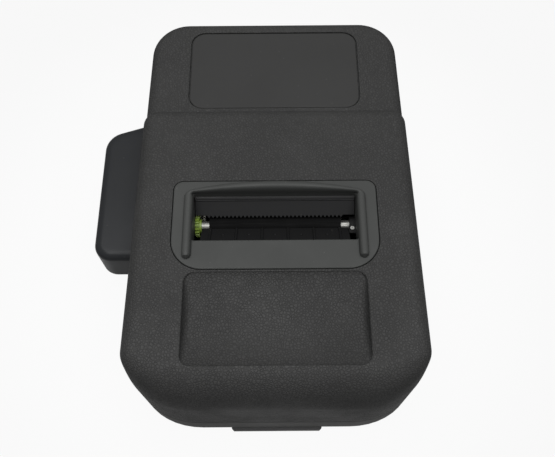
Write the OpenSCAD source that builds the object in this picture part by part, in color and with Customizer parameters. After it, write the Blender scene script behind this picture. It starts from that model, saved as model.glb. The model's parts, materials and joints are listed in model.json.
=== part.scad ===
// A belt-worn receipt printer that lies on its back. X is its width, +Y points to the label
// end, +Z is up, and the table is at z = 0. Sizes are millimetres.

/* [Case] */
// Length of the case from front to rear
case_l = 162; // [156:1:176]
// Width of the case at its front end
front_w = 106.5; // [105:0.5:114]
// Width of the case at its rear end
rear_w = 103; // [99:0.5:105]
// Height of the raised part over the table
case_h = 58; // [57:0.5:62]
// How far the rear deck lies below the raised part
deck_drop = 4; // [3:0.5:5]
// Distance of the step behind the middle of the case
step_y = 34; // [31:0.5:35]
// Wall thickness of both shells
wall = 2.4; // [2:0.1:2.6]
// Height of the joint between the shells over the table
seam_z = 16; // [15:0.5:17]
// How far the front corners reach along the case
front_r = 17.5; // [15:0.5:24]
// How far the front corners reach across the case
front_reach = 24.5; // [20:0.5:30]
// Plan radius of the rear corners
rear_r = 15.5; // [10:0.5:16]
// Radius of the edge between top and sides
edge_r = 5.5; // [4:0.5:7]
// Length of the nose rounding, along the case
nose_l = 13; // [8:0.5:13.5]
// Height of the nose rounding
nose_h = 18; // [12:0.5:20]
// Radius of the bottom edge
base_r = 3; // [2:0.5:4]
// Thickness of the feet under the case
foot_h = 1.5; // [1:0.25:2.5]
// Diameter of a foot
foot_d = 10; // [8:0.5:12]

/* [Label and dish] */
// Width of the bare label plate
label_w = 68.5; // [50:0.5:70]
// Length of the label plate
label_l = 37.5; // [28:0.5:38]
// Corner radius of the label plate
label_r = 5.5; // [3:0.5:8]
// Depth of the label's seat in the deck
label_depth = 0.9; // [0.6:0.1:1.1]
// Width of the thumb dish
dish_w = 64.5; // [40:0.5:66]
// Length of the thumb dish
dish_l = 33.5; // [20:0.5:34]
// Depth of the thumb dish at its middle
dish_depth = 4.5; // [2:0.25:4.75]

/* [Paper exit] */
// Room between an end of the roller and the side of the exit window
exit_room = 5.3; // [5.1:0.1:5.6]
// Front edge of the window
window_front = -24; // [-25:0.5:-23]
// Rear edge of the window
window_rear = -5.3; // [-5.5:0.1:-4.5]
// Width of the bezel beside the window
bezel_side = 7.5; // [6.5:0.25:9]
// Length of the bezel
bezel_l = 35.2; // [35:0.1:36]
// Thickness of the bezel's flange
bezel_t = 2; // [1.6:0.1:2.2]
// Width of the raised guard
guard_t = 3.4; // [3:0.1:3.6]
// Height of the guard's side bars over the bezel
guard_h = 2.6; // [2:0.1:3]
// Extra height of the guard's arch at its middle
arch_rise = 2.8; // [1:0.2:4]
// Pitch of the tear-off teeth
tooth_pitch = 1.5; // [1.2:0.1:2]
// Pitch of the ribs on the paper guide
rib_pitch = 9.6; // [8:0.2:10]

/* [Print mechanism] */
// Place of the roller's axis along the case
platen_y = -12.9; // [-13.3:0.1:-12.7]
// Depth of the roller's axis under the raised top
platen_drop = 11.8; // [11.6:0.1:12.6]
// Diameter of the rubber roller
rubber_d = 8.4; // [7.6:0.1:8.6]
// Length of the rubber roller
rubber_l = 49.4; // [46:0.2:50]
// Diameter of the roller's shaft
shaft_d = 4; // [3:0.25:4.5]
// Gear module
gear_m = 0.4; // [0.38:0.01:0.41]
// Thickness of a gear's face
gear_t = 1.5; // [1.1:0.1:1.6]
// Diameter of the stepper motor
motor_d = 15; // [12:0.5:15.5]
// Length of the stepper motor's can
motor_l = 13; // [10:0.5:15]
// Play between a pin and what turns on it, on the radius
play = 0.04; // [0.02:0.01:0.08]

/* [Paper roll] */
// Width of the paper roll's space
roll_w = 58.4; // [57.5:0.1:58.6]
// Diameter of a full paper roll
roll_d = 42; // [38:0.5:43]

/* [Battery] */
// How far the pack stands out of the case
ear_w = 18.8; // [16:0.2:22]
// Length of the pack along the case
ear_l = 59.5; // [57:0.5:64]
// Front end of the pack
ear_front = -21; // [-22:0.5:-19]
// Thickness of the pack
ear_h = 19; // [18:0.25:20]
// Diameter of one cell
cell_d = 14.4; // [13:0.1:14.6]
// Length of one cell
cell_l = 50; // [44:0.5:50.5]

/* [Hidden] */

// Shared small values: a gap between loose pieces, an overlap that joins, fine arcs
gap = 0.25;
eps = 0.01;
bite = 0.5;
fine = 48;

// Main planes of the case
front_y = -case_l / 2;
rear_y = case_l / 2;
front_half = front_w / 2;
rear_half = rear_w / 2;
deck_z = case_h - deck_drop;
floor_z = foot_h + wall;
roof_z = case_h - wall;
tab_out = 1;

// Steps of the rounded outlines
front_steps = 10;
rear_steps = 6;
edge_steps = 12;
nose_steps = 6;

// Radius of the raised part's corners at the step, and how far the deck reaches in under it
crest_r = edge_r + 0.5;
deck_reach = 30;

// The origin is under the middle of the whole printer, pack and door tab included
module placed() translate([ear_w / 2, tab_out / 2, 0]) children();

// Points of an elliptical arc in n steps
function arc(cx, cy, rx, ry, a0, a1, n) =
    [for (i = [0:n]) let (a = a0 + (a1 - a0) * i / n) [cx + rx * cos(a), cy + ry * sin(a)]];

// The point at distance d from c in direction a
function at_angle(c, d, a) = [c[0] + d * cos(a), c[1] + d * sin(a)];

// Outline of the case from above: ends y0 and y1, half widths wf and wr, reach of the front
// corners rf across and along, radius of the rear ones rr, with the sides, the front and the rear
// drawn in by s, f and b
function plan(y0, y1, wf, wr, rf, rr, s, f, b) = concat(
    arc(wf - rf[0], y0 + rf[1], rf[0] - s, rf[1] - f, -90, 0, front_steps),
    arc(wr - rr, y1 - rr, rr - s, rr - b, 0, 90, rear_steps),
    arc(rr - wr, y1 - rr, rr - s, rr - b, 90, 180, rear_steps),
    arc(rf[0] - wf, y0 + rf[1], rf[0] - s, rf[1] - f, 180, 270, front_steps));
front_corner = [front_reach, front_r];

// Half width of the case at y
function half_at(y) = let (y0 = front_y + front_r, y1 = rear_y - rear_r,
    t = max(0, min(1, (y - y0) / (y1 - y0)))) front_half + (rear_half - front_half) * t;

// How far a rounding of radius r and reach l draws in at height h above its start
function drawn_in(l, r, h) = l * (1 - sqrt(1 - pow(max(0, min(1, h / r)), 2)));

// A solid skinned over rings of points, each ring counterclockwise seen from the last one
module skin(rings) {
    n = len(rings[0]);
    m = len(rings);
    sides = [for (j = [0:m - 2]) for (i = [0:n - 1]) let (k = (i + 1) % n)
        each [[j * n + i, (j + 1) * n + i, (j + 1) * n + k], [j * n + i, (j + 1) * n + k, j * n + k]]];
    polyhedron([for (ring = rings) each ring], concat([[for (i = [0:n - 1]) i]], sides,
        [[for (i = [n - 1:-1:0]) (m - 1) * n + i]]));
}

// A solid through flat outlines, outline j at height zs[j]
module loft(outlines, zs)
    skin([for (j = [0:len(zs) - 1]) [for (p = outlines[j]) [p[0], p[1], zs[j]]]]);

// The low body under the deck, all faces moved in by off, from z0 up. It starts inside the
// raised part, on the same side planes.
module deck_body(off, z0) {
    r = edge_r - off;
    top = deck_z - off;
    start = step_y - deck_reach;
    zs = concat([z0], [for (i = [0:edge_steps / 2]) top - r + r * sin(180 * i / edge_steps)]);
    loft([for (z = zs) let (s = drawn_in(r, r, z - top + r))
        plan(start - r, rear_y - off, half_at(start) - off, rear_half - off,
            [r + bite, r + bite], rear_r - off, s, 0, s)], zs);
}

// The raised part with its long nose rounding, all faces moved in by off, from z0 up
module raised_body(off, z0) {
    r = edge_r - off;
    top = case_h - off;
    nh = nose_h - off;
    nl = nose_l - off;
    zs = concat([z0], [for (i = [0:nose_steps - 1]) top - nh + (nh - r) * i / nose_steps],
        [for (i = [0:edge_steps]) top - r + r * sin(90 * i / edge_steps)]);
    loft([for (z = zs) let (s = drawn_in(r, r, z - top + r))
        plan(front_y + off, step_y - off, front_half - off, half_at(step_y - crest_r) - off,
            front_corner - [off, off], crest_r - off, s, drawn_in(nl, nh, z - top + nh), s)], zs);
}

// Both bodies together
module case_body(off, z0) {
    deck_body(off, z0);
    raised_body(off, z0);
}

// A rounded rectangle of w by l with corner radius r, h thick, from a list of its arcs
module tile(w, l, r, h) linear_extrude(h) polygon(concat(
    arc(w / 2 - r, r - l / 2, r, r, -90, 0, 8), arc(w / 2 - r, l / 2 - r, r, r, 0, 90, 8),
    arc(r - w / 2, l / 2 - r, r, r, 90, 180, 8), arc(r - w / 2, r - l / 2, r, r, 180, 270, 8)));

// A box between two corners
module block(a, b) translate(a) cube(b - a);

// Round bars along X and along Y, from a start point
module bar_x(p, l, r) translate(p) rotate([0, 90, 0]) cylinder(r = r, h = l, $fn = fine);
module bar_y(p, l, r) translate(p) rotate([-90, 0, 0]) cylinder(r = r, h = l, $fn = fine);
module bar_z(p, l, r) translate(p) cylinder(r = r, h = l, $fn = fine);

// A side profile of [y, z] points drawn out along X from x0 over length l
module along_x(x0, l, points) translate([x0, 0, 0])
    multmatrix([[0, 0, 1, 0], [1, 0, 0, 0], [0, 1, 0, 0], [0, 0, 0, 1]])
    linear_extrude(l) polygon(points);

// A coil of round wire about Z: mean radius r, wire radius w, with its ends at 0 and l
spring_sides = 6;
spring_steps = 10;
module coil(r, w, l, turns) {
    n = turns * spring_steps;
    rise = (l - 2 * w) / n;
    points = [for (j = [0:n]) let (a = 360 * j / spring_steps) for (i = [0:spring_sides - 1])
        let (b = 360 * i / spring_sides, d = r + w * cos(b))
        [d * cos(a), d * sin(a), w + rise * j + w * sin(b)]];
    faces = [for (j = [0:n - 1]) for (i = [0:spring_sides - 1])
        let (k = (i + 1) % spring_sides, p = j * spring_sides, q = p + spring_sides)
        each [[p + i, p + k, q + k], [p + i, q + k, q + i]]];
    polyhedron(points, concat([[for (i = [spring_sides - 1:-1:0]) i]], faces,
        [[for (i = [0:spring_sides - 1]) n * spring_sides + i]]));
}

// Gear teeth: the angle by which an involute of base radius rb has turned at radius r
pressure = 25;
tip_share = 0.8;
root_share = 1.15;
backlash = 0.09;
function unwound(rb, r) = let (t = sqrt(max(0, pow(r / rb, 2) - 1))) t * 180 / PI - atan(t);

// Half the angle of a tooth at radius r, for n teeth
function half_tooth(n, r) = let (p = n * gear_m / 2, rb = p * cos(pressure))
    90 / n - backlash / 4 / p * 180 / PI + unwound(rb, p) - unwound(rb, r);
function flank_radii(n) = let (p = n * gear_m / 2, rb = p * cos(pressure), tip = p + tip_share * gear_m)
    [p - root_share * gear_m, max(rb, p - root_share * gear_m) + eps, p, (p + tip) / 2, tip];
function gear_points(n) = let (rs = flank_radii(n), rb = n * gear_m / 2 * cos(pressure))
    [for (k = [0:n - 1]) for (side = [-1, 1]) for (i = [0:4])
        let (r = side < 0 ? rs[i] : rs[4 - i], a = 360 * k / n + side * half_tooth(n, max(r, rb)))
        [r * cos(a), r * sin(a)]];

// A gear about X from x0 to x0 + t, centred on [y, z], with a tooth at angle phase
module gear(n, centre, x0, t, phase, bore) translate([x0, centre[0], centre[1]])
    multmatrix([[0, 0, 1, 0], [1, 0, 0, 0], [0, 1, 0, 0], [0, 0, 0, 1]])
    difference() {
        rotate([0, 0, phase]) linear_extrude(t) polygon(gear_points(n));
        translate([0, 0, -1]) cylinder(r = bore, h = t + 2, $fn = fine);
    }

// A screw that points up, its head under the seat at height z
module screw_up(x, y, z, head_r, head_h, shank_r, l) translate([x, y, z]) difference() {
    union() {
        translate([0, 0, -head_h]) cylinder(r = head_r, h = head_h, $fn = fine);
        cylinder(r = shank_r, h = l, $fn = fine);
    }
    translate([0, 0, -head_h - eps]) cylinder(r = head_r * 0.45, h = head_h * 0.6, $fn = 6);
}

// A screw that points down, its head on the seat at height z
module screw_down(x, y, z, head_r, head_h, shank_r, l)
    translate([x, y, z]) mirror([0, 0, 1]) translate([-x, -y, 0])
    screw_up(x, y, 0, head_r, head_h, shank_r, l);

// Paper exit, from above and from the side
bezel_rear = 0.1;
bezel_front = bezel_rear - bezel_l;
bezel_mid = (bezel_front + bezel_rear) / 2;
bezel_r = 11.5;
bezel_small_r = 3.5;
bezel_proud = 0.2;
bezel_top = case_h + bezel_proud;
bezel_under = bezel_top - bezel_t;
window_w = rubber_l + 2 * exit_room;
bezel_w = window_w + 2 * bezel_side;
throat_w = window_w + 6;
throat_front = window_front - 3.5;
throat_rear = bezel_rear - 1.8;
window_half = window_w / 2;

// The label and the thumb dish
label_gap = 0.45;
label_rear = rear_y - 7.2;
label_mid = label_rear - label_l / 2;
label_bottom = deck_z - label_depth;
dish_rear = bezel_front - 1;
dish_mid = dish_rear - dish_l / 2;
dish_r = 4;
dish_edge = 0.3;
dish_bow = dish_depth - dish_edge;
dish_pad = 1.2;
dish_steps = 28;
dish_power = 0.75;

// Places inside the case, from the roof down for the mechanism and from the floor up for the rest
platen = [platen_y, case_h - platen_drop];
shaft_r = shaft_d / 2;
rubber_r = rubber_d / 2;
cheek_in = window_half + 1.2;
cheek_t = 1.4;
cheek_out = cheek_in + cheek_t;
cheek_top = bezel_under - 1.2;
cheek_front = platen_y - 8.2;
cheek_rear = platen_y + 17;
frame_z = platen[1] - 19.2;
frame_t = 1.6;
lug_in = rubber_l / 2 + 1.2;
lug_t = 1.2;
lug_out = lug_in + lug_t;

// Screw posts of the case and their screws
rear_post = [rear_half - 8, rear_y - 18];
front_post = [front_half - 9.5, front_y + 28];
case_posts = [for (x = [-1, 1], p = [rear_post, front_post]) [x * p[0], p[1]]];
post_r = 3.6;
base_post_r = 4.2;
screw_r = 1.4;
case_head_r = 2.6;
case_seat_z = floor_z + 4.5;
case_bite = 10;

// Door of the roll bay and its hinge
door_w = roll_w + 1.4;
hinge_r = wall;
hinge_z = floor_z;
hinge_y = window_front - 1.5;
hinge_pin_r = 1;
door_front = front_y + wall + 0.8;
knuckle_half = 22;
ear_t = 4;
hinge_half = knuckle_half + gap + ear_t;
corner_cut = 1;
door_rib_x = 20;

// Door latch
tab_w = 35.6;
tab_z = 0.6;
tab_top = foot_h + 1.7;
latch_w = 28;
latch_t = 1.6;
latch_travel = 1.8;
tab_back = front_y + wall + 1.4;
latch_back = tab_back + 13;

// Roll bay
bay_wall = 1.5;
door_room = 3.2;
bay_in = roll_w / 2;
bay_out = bay_in + bay_wall;
bay_front = front_y + 6;
bay_rear = window_front + 0.6;
bay_top = floor_z + door_room + roll_d;
bay_lip_z = platen[1] - 9;
bay_tabs = [front_y + 34, bay_rear - 8];

// Main board and what stands on it
board_z = floor_z + 11.1;
board_t = 1.6;
board_top = board_z + board_t;
board_x0 = -36;
board_x1 = 38;
board_front = bay_rear + 9;
board_rear = rear_y - 8;
board_hole_in = 5;
board_holes = [for (x = [board_x0 + board_hole_in, board_x1 - board_hole_in],
    y = [board_front + 4, board_rear - 16]) [x, y]];
post_room = 4;

// Sockets, buttons, lights and the lens in the rear end
port_x = 16;
port_w = 16;
port_h = 13;
port_l = 17;
jack_x = -15.5;
jack_w = 9;
jack_h = 11;
jack_l = 14;
jack_z = board_top + 5.6;
panel_y = rear_y - wall;
button_x = 31;
button_z = deck_z - 14;
button_r = 4.1;
button_travel = 0.5;
switch_y = panel_y - 7;
led_x = 20;
led_r = 1.5;
lens_w = 18;
lens_h = 8;

// Battery pack
case_side_gap = 0.4;
ear_rear = ear_front + ear_l;
ear_bottom = seam_z - 0.2;
ear_top = ear_bottom + ear_h;
tongue_inset = 3;
tongue_front = ear_front + tongue_inset;
tongue_rear = ear_rear - tongue_inset;
tongue_bottom = seam_z + 0.4;
tongue_top = tongue_bottom + cell_d + 2.4;
pack_wall = 1.2;
cell_pitch = cell_d + 0.3;
ear_out = -front_half - ear_w;
ear_r = 9;
ear_slope = 18;
cell_x = ear_out + 1.6 + cell_d / 2;
tongue_end = cell_x + cell_pitch + cell_d / 2 + 0.3;
cover_t = 1.6;
pack_end = tongue_end + cover_t;
cell_y = (tongue_front + tongue_rear) / 2;
cell_front = tongue_front + pack_wall + 0.15;
cell_z = (tongue_bottom + tongue_top) / 2;
terminal_ys = [cell_y - 5, cell_y, cell_y + 5];

// Battery latch
catch_travel = 2.5;
catch_z = tongue_top - 10;
catch_h = 6;
catch_front = tongue_rear + 0.4;
catch_len = 14;
catch_rear = catch_front + catch_len;
catch_spring_l = 8;
catch_stop = 2;
catch_x0 = -half_at(catch_rear + catch_spring_l + catch_stop) + wall + 0.2;
catch_x1 = catch_x0 + 3;
thumb_room = 0.6;
thumb_l = catch_rear - ear_end(-half_at(ear_rear) - case_side_gap, 0) - thumb_room;

// The upper case
module upper_shell() placed() color([0.24, 0.24, 0.235]) difference() {
    union() {
        difference() {
            case_body(0, seam_z);
            case_body(wall, seam_z - 1);
        }
        dish_roof();
        for (p = case_posts)
            bar_z([p[0], p[1], seam_z], (p[1] > step_y ? deck_z : case_h) - wall + bite - seam_z, post_r);
        for (x = [-1, 1], y = frame_ear_ys) bar_z([x * frame_ear_x, y, frame_ear_z], roof_z + bite -
            frame_ear_z, 2.8);
        for (x = [-1, 1]) bar_y([x * switch_boss_x, switch_y, switch_boss_z], panel_y + bite - switch_y, 2.3);
        block([catch_x0 - 1, catch_rear + catch_spring_l, catch_z],
            [catch_x1 + 0.5, catch_rear + catch_spring_l + catch_stop, catch_z + catch_h]);
    }
    // Seat and throat of the bezel
    translate([0, bezel_mid, bezel_under]) bezel_outline(gap, bezel_t + 1);
    block([-throat_w / 2, throat_front, roof_z - 1], [throat_w / 2, throat_rear, case_h + 1]);
    // Seat of the label and the thumb dish
    translate([0, label_mid, label_bottom]) tile(label_w + 2 * label_gap, label_l + 2 * label_gap, label_r
        + label_gap, label_depth + 1);
    dish_cut();
    for (p = case_posts) bar_z([p[0], p[1], seam_z - 1], case_bite + 2, screw_r - 0.1);
    for (x = [-1, 1], y = frame_ear_ys) bar_z([x * frame_ear_x, y, frame_ear_z - 1], 4.4, frame_screw_r);
    for (x = [-1, 1]) bar_y([x * switch_boss_x, switch_y - 1, switch_boss_z], 5, frame_screw_r);
    // Mouth of the battery and slot of its latch
    block([-front_half - 1, tongue_front - gap, seam_z - 1],
        [-half_at(0) + 6, tongue_rear + gap, tongue_top + gap]);
    block([-front_half, catch_rear - thumb_l - gap, catch_z - gap],
        [catch_x0, catch_rear + catch_travel + gap, catch_z + catch_h + gap]);
    // Openings of the rear end
    block([port_x - port_w / 2 - gap, panel_y - 1, seam_z - 1],
        [port_x + port_w / 2 + gap, rear_y + 1, board_top + port_h + gap]);
    bar_y([jack_x, panel_y - 1, jack_z], wall + 2, 4.4);
    block([-lens_w / 2 - gap / 2, panel_y - 1, button_z - lens_h / 2 - gap / 2],
        [lens_w / 2 + gap / 2, rear_y + 1, button_z + lens_h / 2 + gap / 2]);
    for (x = [-1, 1]) bar_y([x * button_x, panel_y - 1, button_z], wall + 2, button_r + gap);
    for (x = [-1, 1]) bar_y([x * led_x, panel_y - 1, button_z + 3], wall + 2, led_r + gap / 2);
}

// The dish is a scoop, steep at its front and rear ends and flat in its middle
function dish_z(y) = let (v = max(-1, min(1, 2 * (y - dish_mid) / dish_l)))
    case_h - dish_edge - dish_bow * pow(1 - v * v, dish_power);
function dish_line(reach, drop) = [for (i = [0:dish_steps])
    let (y = dish_mid - reach * cos(180 * i / dish_steps)) [y, dish_z(y) - drop]];
module dish_cut() intersection() {
    translate([0, dish_mid, case_h - dish_depth - 1]) tile(dish_w, dish_l, dish_r, dish_depth + 2);
    along_x(-dish_w, 2 * dish_w, concat(dish_line(dish_l / 2 + 1, 0),
        [[dish_mid + dish_l / 2 + 1, case_h + 2], [dish_mid - dish_l / 2 - 1, case_h + 2]]));
}
// The roof follows the dish
module dish_roof() along_x(-dish_w / 2 - dish_pad, dish_w + 2 * dish_pad,
    concat(dish_line(dish_l / 2 + dish_pad, wall), [[dish_mid + dish_l / 2 + dish_pad, roof_z + bite],
        [dish_mid - dish_l / 2 - dish_pad, roof_z + bite]]));

// The base with its bosses
module lower_shell() placed() color([0.2, 0.2, 0.2]) difference() {
    union() {
        difference() {
            base_body();
            base_hollow();
        }
        for (p = case_posts) bar_z([p[0], p[1], foot_h + eps], seam_z - foot_h - eps, base_post_r);
        for (p = board_holes) bar_z([p[0], p[1], floor_z - bite], board_z - floor_z + bite, 3);
        for (x = [-1, 1], y = clip_ys) bar_z([x * clip_x, y, floor_z - bite], insert_l - wall + bite +
            0.8, 4);
        for (x = [-1, 1], y = bay_tabs) bar_z([x * bay_screw_x, y, floor_z - bite], bay_boss_h + bite, 2.5);
        // Lugs of the door hinge
        for (x = [-1, 1]) translate([x * (knuckle_half + gap + ear_t / 2), 0, 0]) {
            bar_x([-ear_t / 2, hinge_y, hinge_z], ear_t, hinge_r);
            block([-ear_t / 2, hinge_y, foot_h], [ear_t / 2, hinge_y + 4, floor_z]);
        }
        // Shelf ribs under the battery's tongue
        for (y = [tongue_front + 7, tongue_rear - 7]) block([-half_at(y) + wall - bite, y - 1, floor_z -
            bite], [pack_end - 1, y + 1, tongue_bottom - 0.1]);
    }
    // Opening of the roll bay and notch of the door tab
    difference() {
        block([-door_w / 2 - gap, door_front - gap, foot_h - 1],
            [door_w / 2 + gap, hinge_y + hinge_r + 0.4, floor_z + eps]);
        for (x = [-1, 1]) translate([x * (knuckle_half + gap + ear_t / 2), 0, 0]) {
            block([-ear_t / 2, hinge_y, foot_h - 2], [ear_t / 2, hinge_y + 8, floor_z + 1]);
            bar_x([-ear_t / 2, hinge_y, hinge_z], ear_t, hinge_r);
        }
    }
    block([-tab_w / 2 - gap, front_y - 1, foot_h - 1], [tab_w / 2 + gap, door_front + 1, tab_top + gap]);
    block([-tab_w / 2 - gap, front_y + wall, foot_h - 1], [tab_w / 2 + gap, door_front + 1, floor_z + eps]);
    bar_x([-hinge_half - 1, hinge_y, hinge_z], 2 * hinge_half + 2, hinge_pin_r + 0.02);
    for (p = case_posts) {
        bar_z([p[0], p[1], foot_h - 1], seam_z, screw_r + 0.2);
        bar_z([p[0], p[1], foot_h - 1], case_seat_z - foot_h + 1, case_head_r + gap);
    }
    for (p = board_holes) bar_z([p[0], p[1], floor_z + 2], board_z, board_screw_r);
    for (x = [-1, 1], y = bay_tabs) bar_z([x * bay_screw_x, y, floor_z], bay_boss_h + 1, board_screw_r);
    for (x = [-1, 1], y = clip_ys) bar_z([x * clip_x, y, foot_h - 1], insert_l + 1, insert_r + 0.02);
    for (p = foot_places) bar_z([p[0], p[1], 0], foot_h + foot_bed, foot_d / 2 + 0.1);
}

// Outside of the base, with its rounded bottom edge and a fine groove under the rim
groove = 0.5;
module base_body() {
    zs = concat([for (i = [0:5]) foot_h + base_r - base_r * cos(18 * i)],
        [seam_z - 1.3, seam_z - 0.8, seam_z]);
    loft([for (z = zs) let (s = z > seam_z - 1 ? groove : drawn_in(base_r, base_r, foot_h + base_r - z))
        plan(front_y, rear_y, front_half, rear_half, front_corner, rear_r, s, s, s)], zs);
}
module base_hollow() loft([for (z = [0, 1]) plan(front_y + wall, rear_y - wall, front_half - wall,
    rear_half - wall, front_corner - [wall, wall], rear_r - wall, 0, 0, 0)], [floor_z, seam_z + 1]);

foot_bed = 0.6;
foot_x = 40;
foot_back = rear_y - 32;
foot_places = [for (x = [-foot_x, foot_x], y = [hinge_y - 10, foot_back]) [x, y]];
module feet() placed() color([0.1, 0.1, 0.1])
    for (p = foot_places) bar_z([p[0], p[1], 0], foot_h + foot_bed, foot_d / 2);

// Brass threads for a belt clip
clip_x = 20;
clip_pitch = 24;
clip_ys = [foot_back - clip_pitch, foot_back];
insert_l = 5;
insert_r = 2.6;
insert_bore = 1.5;
module clip_inserts() placed() color([0.72, 0.58, 0.3])
    for (x = [-1, 1], y = clip_ys) difference() {
        bar_z([x * clip_x, y, foot_h + 0.1], insert_l - 0.1, insert_r);
        bar_z([x * clip_x, y, foot_h - 1], insert_l + 2, insert_bore);
    }

module case_screws() placed() color([0.35, 0.35, 0.36])
    for (p = case_posts) screw_up(p[0], p[1], case_seat_z, case_head_r, 2, screw_r - 0.12, seam_z -
        case_seat_z + case_bite);

module label_plate() placed() color([0.26, 0.26, 0.255])
    translate([0, label_mid, label_bottom]) tile(label_w, label_l, label_r, label_depth - 0.1);

// Outline of the bezel: large front corners and small rear ones, grown by d
module bezel_outline(d, h) linear_extrude(h) polygon(plan(-bezel_l / 2 - d, bezel_l / 2 + d, bezel_w / 2 + d,
    bezel_w / 2 + d, [bezel_r + d, bezel_r + d], bezel_small_r + d, 0, 0, 0));

// The smooth frame of the exit, with its raised guard: two round-ended bars and an arch
guard_r = guard_t / 2;
guard_top = bezel_top + guard_h;
guard_x = window_half + guard_r;
guard_front = window_front - 7.3;
guard_rear = window_rear + 1.2;
guard_edge = 1.2;
arch_t = 1.4;
arch_swell = 2.8;
arch_lean = 0.8;
arch_r = (guard_x * guard_x + arch_rise * arch_rise) / (2 * arch_rise);
arch_steps = 24;
skirt_t = 0.9;
skirt_z = bezel_under - 5;
function bar_outline(s) = concat(arc(0, guard_front + guard_r, guard_r - s, guard_r - s, 180, 360, 12),
    arc(0, guard_rear - guard_r, guard_r - s, guard_r - s, 0, 180, 12));

// The arch stands on the window's rear edge. It is lowest and thinnest at its ends, and its top
// leans over the window.
function arch_height(x) = guard_top + arch_rise - arch_r + sqrt(arch_r * arch_r - x * x);
function arch_half(x) = (arch_t + arch_swell * (1 - x * x / (guard_x * guard_x))) / 2;
function arch_section(x) = let (r = arch_half(x), z = arch_height(x) - guard_edge)
    concat([[window_rear, bezel_top - bite], [window_rear + 2 * r, bezel_top - bite]],
        arc(window_rear + r - arch_lean, z, r, guard_edge, 0, 180, 10));
module exit_bezel() placed() color([0.3, 0.3, 0.295]) {
    difference() {
        translate([0, bezel_mid, bezel_under]) bezel_outline(0, bezel_t);
        block([-window_half, window_front, bezel_under - 1], [window_half, window_rear, bezel_top + 1]);
    }
    bar_zs = concat([bezel_top - bite], [for (i = [0:6]) guard_top - guard_edge + guard_edge * sin(15 * i)]);
    for (x = [-1, 1]) {
        translate([x * guard_x, 0, 0])
            loft([for (z = bar_zs) bar_outline(drawn_in(guard_edge, guard_edge, z - guard_top +
                guard_edge))], bar_zs);
        translate([x * (window_half + skirt_t / 2), 0, 0])
            block([-skirt_t / 2, window_front - skirt_t, skirt_z],
                [skirt_t / 2, window_rear, bezel_under + bite]);
    }
    skin([for (i = [0:arch_steps]) let (x = guard_x * (2 * i / arch_steps - 1))
        [for (p = arch_section(x)) [x, p[0], p[1]]]]);
}

// The sloped panel with the tear-off teeth along its lower edge
tear_t = 1;
tear_top = [window_rear - 0.2, bezel_under];
tear_tip = [platen_y + 1, platen[1] + rubber_r + 0.9];
tear_lip = 2.6;
tear_turn = atan2(tear_top[1] - tear_tip[1], tear_top[0] - tear_tip[0]);
tooth_count = 2 * floor((rubber_l + 4.4) / tooth_pitch / 2);
tooth_deep = 1;
tear_half = window_half - 0.3;
tear_along = [cos(tear_turn), sin(tear_turn)];
tear_down = [sin(tear_turn), -cos(tear_turn)] * tear_t;
tear_edge = tear_tip + tear_along * tooth_deep;
tear_bend = tear_edge + tear_down
    + tear_along * (bezel_under - tear_t - tear_edge[1] - tear_down[1]) / sin(tear_turn);
comb_half = tooth_count / 2 * tooth_pitch;
module tear_bar() placed() color([0.2, 0.2, 0.2]) {
    along_x(-tear_half, 2 * tear_half, [tear_edge, tear_edge + tear_down, tear_bend,
        [tear_top[0] + tear_lip, bezel_under - tear_t], [tear_top[0] + tear_lip, bezel_under], tear_top]);
    translate([0, tear_tip[0], tear_tip[1]]) rotate([tear_turn, 0, 0]) translate([0, 0, -tear_t])
        linear_extrude(tear_t) polygon(concat([[comb_half, tooth_deep + bite],
            [-comb_half, tooth_deep + bite]],
            [for (i = [0:tooth_count - 1]) for (p = [[0, tooth_deep], [0.5, 0]])
                [(i + p[0] - tooth_count / 2) * tooth_pitch, p[1]]], [[comb_half, tooth_deep]]));
}

// The ribbed wall that leads the paper up in front of the roller
guide_t = 1.4;
guide_half = window_half - 2.6;
guide_gap = 0.5;
guide_side = 127;
guide_low = at_angle(platen, rubber_r + guide_gap, guide_side);
guide_high = [window_front, bezel_under];
guide_turn = atan2(guide_high[1] - guide_low[1], guide_high[0] - guide_low[0]);
guide_len = norm(guide_high - guide_low);
guide_lip = 3;
guide_along = [cos(guide_turn), sin(guide_turn)];
guide_out = [-sin(guide_turn), cos(guide_turn)] * guide_t;
guide_foot = guide_low + guide_out + guide_along * guide_t;
guide_bend = guide_foot + guide_along * (bezel_under - guide_t - guide_foot[1]) / sin(guide_turn);
rib_count = 6;
module paper_guide() placed() color([0.15, 0.15, 0.15]) {
    along_x(-guide_half, 2 * guide_half, [guide_low, guide_high, [window_front - guide_lip, bezel_under],
        [window_front - guide_lip, bezel_under - guide_t], guide_bend, guide_foot]);
    translate([0, guide_low[0], guide_low[1]]) rotate([guide_turn, 0, 0]) {
        for (i = [0:rib_count - 1]) translate([(i - (rib_count - 1) / 2) * rib_pitch, 0, 0])
            block([-0.35, 0.4, -0.5], [0.35, guide_len - 0.6, bite]);
        for (i = [1:rib_count - 1]) translate([(i - rib_count / 2) * rib_pitch, guide_len / 2, -0.35])
            cylinder(r = 0.5, h = 1, $fn = 16);
    }
}

// Gear train: the centres lie in the plane of the cheek, and each tooth meets a gap
platen_teeth = 19;
idler_teeth = 22;
small_teeth = 12;
big_teeth = 32;
pinion_teeth = 12;
mesh_slack = 0.05;
function mesh_dist(a, b) = (a + b) * gear_m / 2 + mesh_slack;
idler_dir = -60;
reduction_dir = -30;
motor_dir = 5;
idler = at_angle(platen, mesh_dist(platen_teeth, idler_teeth), idler_dir);
reduction = at_angle(idler, mesh_dist(idler_teeth, small_teeth), reduction_dir);
motor = at_angle(reduction, mesh_dist(big_teeth, pinion_teeth), motor_dir);

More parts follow.
